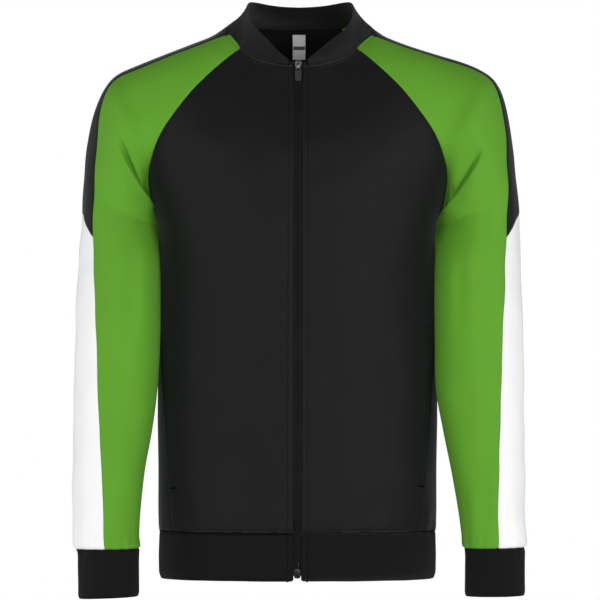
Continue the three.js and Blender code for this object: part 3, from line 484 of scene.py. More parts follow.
# ---------------------------------------------------------------- meshes
def mesh(name, co, quads=(), tris=(), uv=None, wrap=0.0):
    """A mesh object from points in mm. uv is per point, in metres; wrap is the length round a closed ring."""
    me = bpy.data.meshes.new(name)
    quads, tris = np.asarray(quads, np.int32).reshape(-1, 4), np.asarray(tris, np.int32).reshape(-1, 3)
    loops = np.concatenate([quads.ravel(), tris.ravel()])
    starts = np.concatenate([np.arange(len(quads)) * 4, len(quads) * 4 + np.arange(len(tris)) * 3]).astype(np.int32)
    me.vertices.add(len(co))
    me.vertices.foreach_set("co", (np.asarray(co, float) * 0.001).astype(np.float32).ravel())
    me.loops.add(len(loops))
    me.loops.foreach_set("vertex_index", loops.astype(np.int32))
    me.polygons.add(len(starts))
    me.polygons.foreach_set("loop_start", starts)
    me.update(calc_edges=True)
    me.polygons.foreach_set("use_smooth", np.ones(len(starts), bool))
    if uv is not None:
        u = np.asarray(uv, float)[loops]
        if wrap:
            k = len(quads) * 4
            q = u[:k].reshape(-1, 4, 2)
            far = q[..., 0].max(1, keepdims=True) - q[..., 0] > 0.5 * wrap
            q[..., 0] += np.where(far, wrap, 0)
            u[:k] = q.reshape(-1, 2)
        layer = me.uv_layers.new(name="cloth")
        layer.data.foreach_set("uv", u.astype(np.float32).ravel())
    me.validate()
    ob = bpy.data.objects.new(name, me)
    bpy.context.scene.collection.objects.link(ob)
    return ob


def volume(co, quads):
    a, b, c, d = (co[quads[:, k]] for k in range(4))
    return ((a * np.cross(b, c)).sum(-1) + (a * np.cross(c, d)).sum(-1)).sum()


def shell(name, p, t, sign, bulge="0000", ring=False, uv=None, keep=None):
    """A closed wall behind the points p, with rounded rims. bulge: 1 for each free edge of top, bottom, left, right."""
    n, m = p.shape[:2]
    nv = normals(p, sign, ring)
    inner = p - nv * t
    co = [p.reshape(-1, 3), inner.reshape(-1, 3)]
    r, d = lengths(p, 1), lengths(p, 0)
    if uv is None:
        uv = np.stack([r, np.broadcast_to(d.mean(1, keepdims=True), r.shape)], -1) * 0.001
    uvs = [uv.reshape(-1, 2)] * 2
    wrap = float((r[:, -1].mean() + np.linalg.norm(p[:, 0] - p[:, -1], axis=-1).mean()) * 0.001) if ring else 0.0
    at = np.arange(n * m).reshape(n, m)
    jn = m if ring else m - 1
    a = at[:-1, :jn]
    if ring:
        b, c = np.roll(at, -1, 1)[:-1], np.roll(at, -1, 1)[1:]
        e = at[1:]
    else:
        b, c, e = at[:-1, 1:], at[1:, 1:], at[1:, :-1]
    outer = np.stack([a, e, c, b], -1).reshape(-1, 4)
    quads = [outer, outer[:, ::-1] + n * m]
    tb, bb, lb, rb = (0.95 if k == "1" else 0.12 for k in bulge)
    top = (at[0], unit(p[0] - p[1]), np.full(m, tb))
    bot = (at[-1][::-1], unit(p[-1] - p[-2])[::-1], np.full(m, bb))
    if ring:
        rims = [top, bot]
    else:
        lef = (at[::-1, 0], unit(p[:, 0] - p[:, 1])[::-1], np.full(n, lb))
        rig = (at[:, -1], unit(p[:, -1] - p[:, -2]), np.full(n, rb))
        parts = [top, rig, bot, lef]
        ids = np.concatenate([q[0][:-1] for q in parts])
        ways = np.concatenate([q[1][:-1] for q in parts])
        full = np.concatenate([q[2][:-1] for q in parts])
        first = np.cumsum([0] + [len(q[0]) - 1 for q in parts[:-1]])
        for k, s in enumerate(first):      # a corner looks both ways
            ways[s] = unit(parts[k][1][0] + parts[k - 1][1][-1])
            full[s] = (parts[k][2][0] + parts[k - 1][2][-1]) / 2
        rims = [(ids, ways, full)]
    base = 2 * n * m
    for ids, ways, full in rims:
        o, i = p.reshape(-1, 3)[ids], inner.reshape(-1, 3)[ids]
        run = unit(np.roll(o, -1, 0) - np.roll(o, 1, 0))
        ways = unit(ways - run * (ways * run).sum(-1, keepdims=True))
        mid, arm = (o + i) / 2, (o - i) / 2
        half = np.linalg.norm(arm, axis=-1, keepdims=True)
        last, k = ids, len(ids)
        for ang in (35, 65, 90, 115, 145):
            ca, sa = math.cos(math.radians(ang)), math.sin(math.radians(ang))
            co.append(mid + arm * ca + ways * half * full[:, None] * sa)
            uvs.append(uv.reshape(-1, 2)[ids])
            now = base + np.arange(k)
            quads.append(np.stack([last, np.roll(last, -1), np.roll(now, -1), now], -1))
            last, base = now, base + k
        now = ids + n * m
        quads.append(np.stack([last, np.roll(last, -1), np.roll(now, -1), now], -1))
    co, quads = np.concatenate(co), np.concatenate(quads)
    if volume(co, quads) < 0:
        quads = quads[:, ::-1]
    return mesh(name, co, quads, uv=np.concatenate(uvs), wrap=wrap), nv


class Heap:
    """Many small closed shapes, joined in one mesh."""

    def __init__(self):
        self.co, self.quads, self.tris, self.n = [], [], [], 0

    def add(self, co, quads=(), tris=()):
        self.co.append(np.asarray(co, float).reshape(-1, 3))
        if len(quads):
            self.quads.append(np.asarray(quads).reshape(-1, 4) + self.n)
        if len(tris):
            self.tris.append(np.asarray(tris).reshape(-1, 3) + self.n)
        self.n += len(self.co[-1])

    def threads(self, a, b, up, r, arch=0.0):
        """One short thread from each a to each b, round in section and sunk at its ends."""
        a, b, up = np.asarray(a), np.asarray(b), unit(np.asarray(up))
        way = unit(b - a)
        side = unit(np.cross(way, up))
        up = np.cross(side, way)
        sides, stations = 6, ((0.0, 0.35, -0.5), (0.16, 0.9, 0.25), (0.5, 1.0, 0.45), (0.84, 0.9, 0.25), (1.0, 0.35, -0.5))
        rings = []
        for k, fat, lift in stations:
            c = a + (b - a) * k + up * (lift * r + arch * math.sin(math.pi * k))
            for j in range(sides):
                w = 2 * math.pi * j / sides
                rings.append(c + (side * math.cos(w) + up * math.sin(w)) * r * fat)
        co = np.stack(rings, 1)                                  # one row for each thread
        per = sides * len(stations)
        q = []
        for s in range(len(stations) - 1):
            for j in range(sides):
                k = (j + 1) % sides
                q.append([s * sides + j, s * sides + k, (s + 1) * sides + k, (s + 1) * sides + j])
        q = np.array(q)
        e = (len(stations) - 1) * sides
        caps = np.array([[3, 2, 1, 0], [5, 4, 3, 0], [e, e + 1, e + 2, e + 3], [e, e + 3, e + 4, e + 5]])
        q = np.concatenate([q, caps])
        self.add(co, (q[None] + np.arange(len(a))[:, None, None] * per).reshape(-1, 4))

    def seam(self, line, up, pitch=3.1, long=2.45, r=0.27):
        """A row of stitches along a line on the cloth."""
        far = lengths(line, 0)
        n = int(far[-1] / pitch)
        at = (np.arange(n) + 0.5) * far[-1] / n
        pick = lambda v, s: np.stack([np.interp(s, far, v[:, k]) for k in range(3)], -1)
        self.threads(pick(line, at - long / 2), pick(line, at + long / 2), pick(up, at), r)

    def tack(self, a, b, up, wide=2.0):
        """A bar tack: threads laid close across the line from a to b."""
        a, b, up = (np.asarray(v, float) for v in (a, b, up))
        ln = np.linalg.norm(b - a)
        n = max(5, int(ln / 0.5))
        c = a + (b - a) * ((np.arange(n) + 0.5) / n)[:, None]
        side = unit(np.cross(b - a, up))
        self.threads(c - side * wide / 2, c + side * wide / 2, np.broadcast_to(up, c.shape), 0.3, 0.25)

    def object(self, name):
        return mesh(name, np.concatenate(self.co), np.concatenate(self.quads) if self.quads else (),
                    np.concatenate(self.tris) if self.tris else ())


# ---------------------------------------------------------------- materials
def rgb(*v):
    """Linear colour from display values, 0 to 255."""
    return tuple((c / 255 / 12.92 if c <= 10.3 else ((c / 255 + 0.055) / 1.055) ** 2.4) for c in v) + (1.0,)


class Mat:
    """A node material, with short names for the nodes that the finishes share."""

    def __init__(self, name, rough, metal=0.0, spec=0.5, sheen=0.0, sheen_rough=0.5, sheen_tint=(1, 1, 1, 1)):
        self.m = bpy.data.materials.new(name)
        self.m.use_nodes = True
        self.t = self.m.node_tree
        self.b = next(n for n in self.t.nodes if n.type == "BSDF_PRINCIPLED")
        for key, v in (("Roughness", rough), ("Metallic", metal), ("Specular IOR Level", spec), ("Sheen Weight", sheen),
                       ("Sheen Roughness", sheen_rough), ("Sheen Tint", sheen_tint)):
            self.b.inputs[key].default_value = v

    def node(self, kind, **inputs):
        n = self.t.nodes.new(kind)
        for k, v in inputs.items():
            self.put(n.inputs[int(k[1:])] if k[0] == "i" and k[1:].isdigit() else n.inputs[k.replace("_", " ")], v)
        return n

    def put(self, socket, v):
        if isinstance(v, bpy.types.NodeSocket):
            self.t.links.new(v, socket)
        else:
            socket.default_value = v

    def math(self, op, a, b=0.0):
        n = self.t.nodes.new("ShaderNodeMath")
        n.operation = op
        self.put(n.inputs[0], a)
        self.put(n.inputs[1], b)
        return n.outputs[0]

    def mix(self, a, b, k):
        n = self.t.nodes.new("ShaderNodeMix")
        n.data_type = "RGBA"
        self.put(n.inputs[0], k)
        self.put(n.inputs[6], a)
        self.put(n.inputs[7], b)
        return n.outputs[2]

    def noise(self, where, scale, detail=2.0, rough=0.5):
        n = self.node("ShaderNodeTexNoise", Vector=where, Scale=scale, Detail=detail, Roughness=rough)
        return n.outputs["Fac"]

    def ramp(self, value, lo, hi):
        n = self.t.nodes.new("ShaderNodeMapRange")
        n.clamp = True
        self.put(n.inputs[0], value)
        n.inputs[1].default_value, n.inputs[2].default_value = lo, hi
        return n.outputs[0]

    def bump(self, height, strength, distance, under=None):
        n = self.node("ShaderNodeBump", Strength=strength, Distance=distance, Height=height)
        if under is not None:
            self.t.links.new(under, n.inputs["Normal"])
        return n.outputs["Normal"]


def cloth(name, light, dark, rough=0.82, sheen=0.25, sheen_rough=0.35, tint=(1, 1, 1, 1), wale=0.85, rib=0.0, depth=0.1, spec=0.3, vary=1.0, fuzz=0.5):
    """A knit: wales along the piece and courses across it, in its own cut's millimetres, with slow random tone and
    loft; the colour is also lighter on the wale and rib crests and darker in their grooves, which is painted shade.
    """
    k = Mat(name, rough, spec=spec, sheen=sheen, sheen_rough=sheen_rough, sheen_tint=tint)
    where = k.node("ShaderNodeTexCoord")
    uv, ob = where.outputs["UV"], where.outputs["Object"]
    sep = k.node("ShaderNodeSeparateXYZ", Vector=uv)
    u, v = sep.outputs[0], sep.outputs[1]
    wander = k.noise(ob, 220.0, 1.0)
    turn = 2 * math.pi * 1000
    across = k.math("ADD", k.math("MULTIPLY", u, turn / wale), k.math("MULTIPLY", wander, 0.8))
    course = wale * 0.82
    # each loop is a small chevron: the courses lean with the wale's phase
    lean = k.math("MULTIPLY", k.math("ABSOLUTE", k.math("SINE", k.math("MULTIPLY", across, 0.5))), 2.2)
    loops = k.math("SINE", k.math("ADD", k.math("MULTIPLY", v, turn / course), lean))
    wales = k.math("ABSOLUTE", k.math("SINE", k.math("MULTIPLY", across, 0.5)))
    height = k.math("ADD", k.math("MULTIPLY", wales, 0.65), k.math("MULTIPLY", loops, 0.22))
    slow = k.noise(ob, 9.0, 3.0, 0.55)
    pill = k.noise(ob, 900.0, 2.0, 0.6)
    height = k.math("ADD", height, k.math("MULTIPLY", pill, fuzz))
    nor = k.bump(height, 0.55, depth * 0.001)
    # the wales term makes the colour lighter on the wale crests and darker in the grooves, a painted shade in the knit;
    # the slow noise is a random tone
    shade = k.math("ADD", k.math("MULTIPLY", slow, 0.6), k.math("MULTIPLY", wales, 0.4))
    if rib:
        ribs = k.math("SINE", k.math("MULTIPLY", u, turn / rib))
        soft = k.ramp(ribs, -0.7, 0.8)
        nor = k.bump(soft, 0.8, 0.00042, nor)
        # the rib term likewise lightens the rib crests and darkens the grooves between them: painted shade
        shade = k.math("ADD", k.math("MULTIPLY", shade, 0.75), k.math("MULTIPLY", soft, 0.25))
    colour = k.mix(dark, light, k.ramp(shade, 0.5 - 0.42 / vary, 0.5 + 0.42 / vary))
    k.t.links.new(colour, k.b.inputs["Base Color"])
    k.t.links.new(nor, k.b.inputs["Normal"])
    return k.m


def woven(name, light, dark, pitch=0.55, rough=0.7, sheen=0.1, spec=0.35, herring=True, depth=0.08):
    """A woven tape: a fine twill that turns back on itself, its colour lighter on the raised twill and darker between
    the lines, which is painted shade, under a random tone.
    """
    k = Mat(name, rough, spec=spec, sheen=sheen, sheen_rough=0.4)
    where = k.node("ShaderNodeTexCoord")
    sep = k.node("ShaderNodeSeparateXYZ", Vector=where.outputs["Object"])
    turn = 2 * math.pi * 1000 / pitch
    x = k.math("ABSOLUTE", sep.outputs[0]) if herring else sep.outputs[0]
    twill = k.math("SINE", k.math("ADD", k.math("MULTIPLY", x, turn), k.math("MULTIPLY", sep.outputs[2], turn * 0.8)))
    warp = k.math("SINE", k.math("MULTIPLY", x, turn * 2.1))
    h = k.math("ADD", k.math("MULTIPLY", twill, 0.6), k.math("MULTIPLY", warp, 0.3))
    # the colour follows the weave's height h: lighter on the raised lines and darker between them, a painted shade; the
    # noise adds a random tone
    shade = k.ramp(k.math("ADD", h, k.noise(where.outputs["Object"], 60.0, 2.0)), -0.7, 1.4)
    k.t.links.new(k.mix(dark, light, shade), k.b.inputs["Base Color"])
    k.t.links.new(k.bump(h, 0.6, depth * 0.001), k.b.inputs["Normal"])
    return k.m


def metal(name, light, dark, rough=0.26):
    """Cast and tumbled metal: fine pits and faint brushing."""
    k = Mat(name, rough, metal=1.0)
    where = k.node("ShaderNodeTexCoord").outputs["Object"]
    stretch = k.node("ShaderNodeMapping", Vector=where)
    stretch.inputs["Scale"].default_value = (1.0, 1.0, 0.12)
    brush = k.noise(stretch.outputs[0], 5200.0, 3.0)
    pits = k.noise(where, 1400.0, 4.0, 0.7)
    shade = k.ramp(k.math("ADD", k.math("MULTIPLY", pits, 0.7), k.math("MULTIPLY", brush, 0.3)), 0.3, 0.62)
    k.t.links.new(k.mix(dark, light, shade), k.b.inputs["Base Color"])
    k.t.links.new(k.ramp(k.math("MULTIPLY", pits, 0.55), 0.0, 1.0), k.b.inputs["Roughness"])
    k.t.links.new(k.bump(k.math("ADD", pits, k.math("MULTIPLY", brush, 0.5)), 0.25, 0.00004), k.b.inputs["Normal"])
    return k.m


def moulded(name, light, dark, rough=0.55):
    """Moulded rubber with a fine matt grain."""
    k = Mat(name, rough, spec=0.4)
    where = k.node("ShaderNodeTexCoord").outputs["Object"]
    grain = k.noise(where, 2600.0, 3.0, 0.6)
    slow = k.noise(where, 180.0, 2.0)
    k.t.links.new(k.mix(dark, light, k.ramp(k.math("ADD", k.math("MULTIPLY", grain, 0.5), k.math("MULTIPLY", slow, 0.5)), 0.35, 0.65)), k.b.inputs["Base Color"])
    k.t.links.new(k.bump(grain, 0.35, 0.00006), k.b.inputs["Normal"])
    return k.m


GREY = (0.75, 0.77, 0.82, 1)
M = {
    "black_cloth": cloth("tricot_black", rgb(15, 15, 16), rgb(10, 10, 11), rough=0.62, spec=0.15, sheen=0.19, sheen_rough=0.4, tint=GREY),
    "green_cloth": cloth("tricot_green", rgb(93, 155, 41), rgb(86, 147, 35), rough=0.75, spec=0.2, sheen=0.12, tint=(0.72, 0.9, 0.5, 1)),
    "white_cloth": cloth("tricot_white", rgb(240, 240, 241), rgb(235, 235, 237), spec=0.2, sheen=0.04, depth=0.06),
    "black_rib": cloth("rib_black", rgb(14, 14, 15), rgb(9, 9, 10), rough=0.7, rib=1.7, spec=0.12, sheen=0.08, tint=GREY),
    "collar_rib": cloth("rib_collar", rgb(16, 16, 17), rgb(11, 11, 12), rough=0.62, rib=1.5, spec=0.15, sheen=0.16, sheen_rough=0.4, tint=GREY),
    "black_tape": woven("tape_black", rgb(17, 17, 18), rgb(9, 9, 10), sheen=0.03, spec=0.14),
    "black_thread": woven("thread_black", rgb(9, 9, 10), rgb(4, 4, 5), pitch=0.4, rough=0.9, sheen=0.0, spec=0.06, herring=False),
    "label_cloth": woven("label_satin", rgb(247, 247, 246), rgb(236, 236, 235), pitch=0.35, rough=0.45, herring=False, depth=0.03),
    "label_dark": woven("label_band", rgb(74, 75, 78), rgb(58, 59, 62), pitch=0.35, rough=0.5, herring=False, depth=0.03),
    "white_thread": woven("thread_white", rgb(240, 240, 240), rgb(215, 215, 215), pitch=0.4, herring=False),
    "zip_metal": metal("zip_metal", (0.34, 0.34, 0.35, 1), (0.13, 0.13, 0.135, 1)),
    "dark_metal": metal("foot_metal", (0.028, 0.028, 0.029, 1), (0.009, 0.009, 0.01, 1), 0.34),
    "pull_rubber": moulded("pull_rubber", rgb(36, 37, 39), rgb(28, 29, 31)),
}


def dress(ob, look, body="root", nodes=()):
    ob.data.materials.append(M[look])
    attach(ob, body)
    if nodes:
        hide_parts(*nodes)
    return ob


# ---------------------------------------------------------------- cloth pieces
threads = Heap()                 # all the black topstitching, with the dark cords laid as painted shade in the hem seam and along the pocket mouths
seamF = lambda left, s: along(CREST, "leftF" if left else "rightF", s)
seamB = lambda s: along(CREST, "seamB", s)
join = lambda k: JOIN - CHEVRON * (1 - np.abs(2 * k - 1) ** 1.8)
drawn = {}

for left in (False, True):
    w, sign = ("left", 1) if left else ("right", -1)
    # front
    f = lambda v, u, left=left: on_side(left, body_point(False, v, u))
    p, e = grid(f, 0, 18, 0.0, pocket_at, NEAR_NECK, NEAR_BLOUSE, NEAR_ZIP, NEAR_SEAM, FINE, mid=0.4)
    nv = normals(p, -sign)
    zs = p[..., 2]
    opening = smooth((POCKET_TOP - 6 - zs) / 14)                 # 1 where the outer edge is the pocket's mouth
    opening = opening * smooth((zs + 602) / 14)
    d = ditch(e["t"], 1.6, 1.4) + groove(e["t"], STITCH_NECK, 1.9, 1.0) + 0.7 * np.exp(-((e["t"] - 2.5) / 1.2) ** 2)
    d += blouse(e["b"], 4.2, 0.9, 6.0) * calm(p)
    d += ditch(e["r"], 0.4) * (1 - opening) + opening * (0.7 * np.exp(-(e["r"] / 7) ** 2) + groove(e["r"], 1.4, 0.6, 0.7))
    d += groove(e["l"], STITCH_ZIP) + 0.5 * np.exp(-((e["l"] - 2.8) / 2.4) ** 2) - 0.5 * np.exp(-(e["l"] / 0.8) ** 1.5)
    pucker = np.sin(lengths(p, 0) / 4.6 + 1.3 * np.sin(lengths(p, 0) / 19)) * 0.16
    d += pucker * np.exp(-((e["l"] - STITCH_ZIP) / 4.0) ** 2)
    p = p + nv * d[..., None]
    ob, nv = shell("front_%s_cloth" % w, p, CLOTH, -sign, "0010")
    dress(ob, "black_cloth", nodes=["front_" + w])
    j = int(np.argmin(np.abs(NEAR_ZIP - STITCH_ZIP)))
    i = int(np.argmin(np.abs(NEAR_NECK - STITCH_NECK)))
    threads.seam(p[i:, j], nv[i:, j])
    threads.seam(p[i, j:-3], nv[i, j:-3], pitch=2.9)
    drawn["front_" + w] = (p, nv, zs)
    # where the pocket's mouth runs, for its stitches and tacks
    mouth = np.where((zs[:, -1] < POCKET_TOP + 4) & (zs[:, -1] > -584))[0]
    line = np.array([[np.interp(-1.4, -e["r"][i], p[i, :, k]) for k in range(3)] for i in mouth])
    up = np.array([[np.interp(-1.4, -e["r"][i], nv[i, :, k]) for k in range(3)] for i in mouth])
    # thick, dark, close-set stitches along the lip's edge: real edge stitching that, nearly unbroken, also stands in as
    # the painted shadow of the gap under the lip
    threads.seam(line, up, pitch=2.6, long=2.35, r=0.5)
    lo, hi = mouth[-1], mouth[0]
    across = np.array([[np.interp(-12.0, -e["r"][i], p[i, :, k]) for k in range(3)] for i in (lo, hi)])
    threads.tack(p[lo, -1] + nv[lo, -1] * 0.2, across[0] + nv[lo, -1] * 0.2 + np.array([0, 0, 2.0]), nv[lo, -1], 2.4)
    threads.tack(p[hi, -1] + nv[hi, -1] * 0.2, across[1] + nv[hi, -1] * 0.2, nv[hi, -1], 2.0)

    # side piece, which also runs on under the pocket's mouth
    def under(v, k, left=left):
        a = pocket_at(v)
        lap = 0.0075 * smooth((v - 13.3) / 0.6)
        return on_side(left, body_point(False, v, a - lap + (1 - a + lap) * k))
    top = np.interp(POCKET_TOP - 2.5, body_seam(False, np.linspace(14, 12, 200))[..., 2], np.linspace(14, 12, 200))
    p, e = grid(under, top, 18, 0.0, 1.0, NEAR_FREE, NEAR_BLOUSE, NEAR_SEAM, NEAR_SEAM, FINE, mid=1.0)
    nv = normals(p, -sign)
    d = ditch(e["r"], 0.4) + blouse(e["b"], 4.2, 0.9, 6.0) * calm(p) - 4.0 * smooth((3.4 - e["l"]) / 1.2) * smooth((POCKET_TOP - p[..., 2]) / 24)
    d -= 1.6 * np.exp(-(e["t"] / 8) ** 2)
    p = p + nv * d[..., None]
    ob, nv = shell("pocket_side_%s_cloth" % w, p, CLOTH, -sign, "0000")
    dress(ob, "black_cloth", nodes=["pocket_side_" + w])

    # sleeve: green front and back halves
    for half, node in ((False, "sleeve_front_"), (True, "sleeve_back_")):
        def f(s, k, left=left, half=half):
            a = seamB(s) if half else -seamF(left, s)
            q = (a + (1 - a) * k) if half else (-1 + (a + 1) * k)
            return on_side(left, sleeve_point(left, s, np.where(half, np.maximum(q, 1e-6), q)))
        p, e = grid(f, 0, 20, 0.0, 1.0, NEAR_NECK, NEAR_BLOUSE, NEAR_SEAM, NEAR_SEAM, 1.9 if not half else 3.0)
        nv = normals(p, -sign)
        shallow = 1 - 0.8 * smooth((-246 - p[..., 2]) / 12)      # the seam under the arm lies nearly flat
        d = ditch(e["r"] if half else e["l"]) * shallow + ditch(e["l"] if half else e["r"]) + ditch(e["t"])
        d += groove(e["t"], STITCH_NECK, 1.4, 1.0) + blouse(e["b"], 2.2, 1.0, 6.0)
        if not half:
            d += pinched(sign, p) * smooth(e["l"] / 2.5)
            z = p[..., 2]
            fall = smooth((-230 - z) / 22) * smooth((z + 310) / 60)      # the sleeve hangs in over the body below the fold
            p[..., 0] -= sign * (6.5 if left else 2.6) * fall * np.exp(-((e["l"] - 13) / 9) ** 2) * smooth(e["l"] / 5)
            nv = normals(p, -sign)
        p = p + nv * d[..., None]
        ob, nv = shell(node + w + "_cloth", p, CLOTH, -sign)
        dress(ob, "green_cloth", nodes=[node + w])
        i = int(np.argmin(np.abs(NEAR_NECK - STITCH_NECK)))
        drawn[node + w] = (p, nv, i)

    # stripe: black above, white below
    def stripe(s, k, left=left):
        a, b = seamF(left, s), seamB(s)
        return on_side(left, sleeve_point(left, s, -a + (a + b) * k))
    up_f = lambda i, k: stripe(i * join(k) / 11, k)
    low_f = lambda i, k: stripe(20 - (20 - i) * (20 - join(k)) / 9, k)
    p, e = grid(up_f, 0, 11, 0.0, 1.0, NEAR_NECK, NEAR_SEAM, NEAR_SEAM, NEAR_SEAM, COARSE)
    nv = normals(p, -sign)
    d = ditch(e["l"]) + ditch(e["r"]) + ditch(e["t"]) + ditch(e["b"]) + groove(e["t"], STITCH_NECK, 1.4, 1.0)
    p = p + nv * d[..., None]
    ob, nv = shell("stripe_upper_%s_cloth" % w, p, CLOTH, -sign)
    dress(ob, "black_cloth", nodes=["stripe_upper_" + w])
    i = int(np.argmin(np.abs(NEAR_NECK - STITCH_NECK)))
    drawn["stripe_upper_" + w] = (p, nv, i)
    p, e = grid(low_f, 11, 20, 0.0, 1.0, NEAR_SEAM, NEAR_BLOUSE, NEAR_SEAM, NEAR_SEAM, COARSE)
    nv = normals(p, -sign)
    d = ditch(e["l"]) + ditch(e["r"]) + ditch(e["t"]) + blouse(e["b"], 2.2, 1.0, 6.0)
    p = p + nv * d[..., None]
    ob, nv = shell("stripe_lower_%s_cloth" % w, p, CLOTH, -sign)
    dress(ob, "white_cloth", nodes=["stripe_lower_" + w])

    # cuff
    s = np.array([20.0, 20.05, 20.2, 20.45, 20.7, *np.linspace(21, 22.85, 14), 22.93, 22.97, 23.0])
    q = np.linspace(-1, 1, 151)[:-1]
    f = lambda s, q, left=left: on_side(left, sleeve_point(left, s, q))
    far = lengths(f(np.full(400, 21.0), np.linspace(-1, 1, 400)), 0)
    q = np.interp(np.linspace(0, far[-1], 141)[:-1], far, np.linspace(-1, 1, 400))
    p = detail(f(s[:, None] + 0 * q[None], q[None] + 0 * s[:, None]))
    e = lengths(p, 0)
    nv = normals(p, -sign, True)
    d = -1.9 * np.exp(-(e / 2.6) ** 1.4) + 0.5 * np.sin(np.pi * np.clip(e / e[-1:], 0, 1)) - 1.2 * np.exp(-((e[-1:] - e) / 2.2) ** 1.6)
    p = p + nv * d[..., None]
    ob, nv = shell("cuff_%s_rib" % w, p, RIB, -sign, "0100", ring=True)
    dress(ob, "black_rib", nodes=["cuff_" + w])

# back, in one piece
f = lambda v, k: np.where((np.asarray(k) > 0)[..., None], on_side(True, body_point(True, v, np.abs(k))), on_side(False, body_point(True, v, np.abs(k))))
p, e = grid(f, 0, 18, -1.0, 1.0, NEAR_NECK, NEAR_BLOUSE, NEAR_SEAM, NEAR_SEAM, COARSE, mid=0.3)
nv = normals(p, 1)
d = ditch(e["l"], 0.4) + ditch(e["r"], 0.4) + ditch(e["t"]) + groove(e["t"], STITCH_NECK, 1.4, 1.0) + blouse(e["b"], 4.2, 0.9, 6.0) * calm(p)
p = p + nv * d[..., None]
ob, nv = shell("back_cloth", p, CLOTH, 1)
dress(ob, "black_cloth", nodes=["back"])
i = int(np.argmin(np.abs(NEAR_NECK - STITCH_NECK)))
threads.seam(p[i, 3:-3], nv[i, 3:-3], pitch=2.9)

green_threads = Heap()
for w in ("left", "right"):
    for node in ("sleeve_front_", "sleeve_back_"):
        p, nv, i = drawn[node + w]
        green_threads.seam(p[i, 3:-3], nv[i, 3:-3], pitch=2.9)
    p, nv, i = drawn["stripe_upper_" + w]
    threads.seam(p[i, 3:-3], nv[i, 3:-3], pitch=2.9)

# ---------------------------------------------------------------- hem band
HEM_X = -1.5
v18 = lambda back, left, u: on_side(left, body_point(back, np.full(np.shape(u), 18.0), u))
u = np.linspace(0, 1, 400)
ring = np.concatenate([v18(False, False, u), v18(True, False, u[::-1])[1:], v18(True, True, u)[1:], v18(False, True, u[::-1])[1:]])
far = lengths(ring, 0)
CORNER = 2.6
drop = np.array([0.05, 0.5, 1.1, 2.0, 3.2, 5.0, 7.5, *np.linspace(10, HEM_TALL - 9.5, 18), HEM_TALL - 8, HEM_TALL - 6.2, HEM_TALL - 4.6, HEM_TALL - 3.2, HEM_TALL - 2.1, HEM_TALL - 1.2, HEM_TALL - 0.5, HEM_TALL - 0.05])
full = np.interp(drop, BAND["drop"], BAND["full"])
rows = []
for dr, fu in zip(drop, full):
    b = HEM_TALL - dr
    cutback = CORNER - math.sqrt(max(CORNER ** 2 - (CORNER - b) ** 2, 0)) if b < CORNER else 0.0
    ends = np.array([0.0, 0.4, 0.9, 1.8, 3.2, 4.7, 5.5, 6.0, STITCH_ZIP, 6.8, 7.3, 8.2, 9.8])
    at = np.concatenate([cutback + ends * (1 - cutback / 14), np.linspace(9.8 + cutback * 0.3, far[-1] - 9.8 - cutback * 0.3, 290)[1:-1],
                         far[-1] - (cutback + ends * (1 - cutback / 14))[::-1]])
    r = np.stack([np.interp(at, far, ring[:, k]) for k in range(3)], -1)
    x = np.where(np.abs(r[:, 0] - HEM_X) < 8, r[:, 0], HEM_X + (r[:, 0] - HEM_X) * fu)
    rows.append(np.stack([x, r[:, 1] * fu, r[:, 2] - dr], -1))
p = detail(np.array(rows))
e = edges(p)
nv = normals(p, 1)
low = HEM_TALL - drop[:, None]
d = -4.2 * np.exp(-(e["t"] / 1.9) ** 1.5) * calm(p) - 2.2 * np.clip(1 - low / 9, 0, 1) ** 2
d = d + groove(e["l"], STITCH_ZIP) + groove(e["r"], STITCH_ZIP) + 0.5 * np.exp(-((e["l"] - 2.8) / 2.4) ** 2) + 0.5 * np.exp(-((e["r"] - 2.8) / 2.4) ** 2)
p = p + nv * d[..., None]
ob, nv = shell("hem_band_rib", p, RIB, 1, "0111")
dress(ob, "black_rib", nodes=["hem_band"])
threads.seam(p[5:-8, 8], nv[5:-8, 8])
threads.seam(p[5:-8, -9], nv[5:-8, -9])
# the seam itself, a dark cord of stitches down in the groove between the cloth and the band: partly real seam thread,
# and thick and dark enough to stand in as painted shade in the groove
threads.seam(p[0, 2:-2] + nv[0, 2:-2] * (2.5 * calm(p[0, 2:-2]))[:, None], nv[0, 2:-2], pitch=3.0, long=3.3, r=0.85)
# round the back the cord is thicker still, more painted shade down in the seam's groove
behind = np.where(p[0, :, 1] > -20)[0]
threads.seam(p[0, behind], nv[0, behind], pitch=3.0, long=3.3, r=1.35)

# ---------------------------------------------------------------- collar
def neck_part(left):
    f = on_side(left, body_point(False, np.zeros(160), np.linspace(0, 1, 160)))
    s = on_side(left, sleeve_point(left, np.zeros(240), np.linspace(-1, 1, 240)))
    b = on_side(left, body_point(True, np.zeros(200), np.linspace(1, 0, 200)))
    f[0] = f[0] + (f[23] - f[0]) * COLLAR_START
    keep = np.linalg.norm(f - f[0], axis=-1) * np.sign(np.abs(f[:, 0]) - abs(f[0, 0]))
    f = f[(keep > 0.05) | (np.arange(len(f)) == 0)]
    return np.concatenate([f, s[1:], b[1:]])


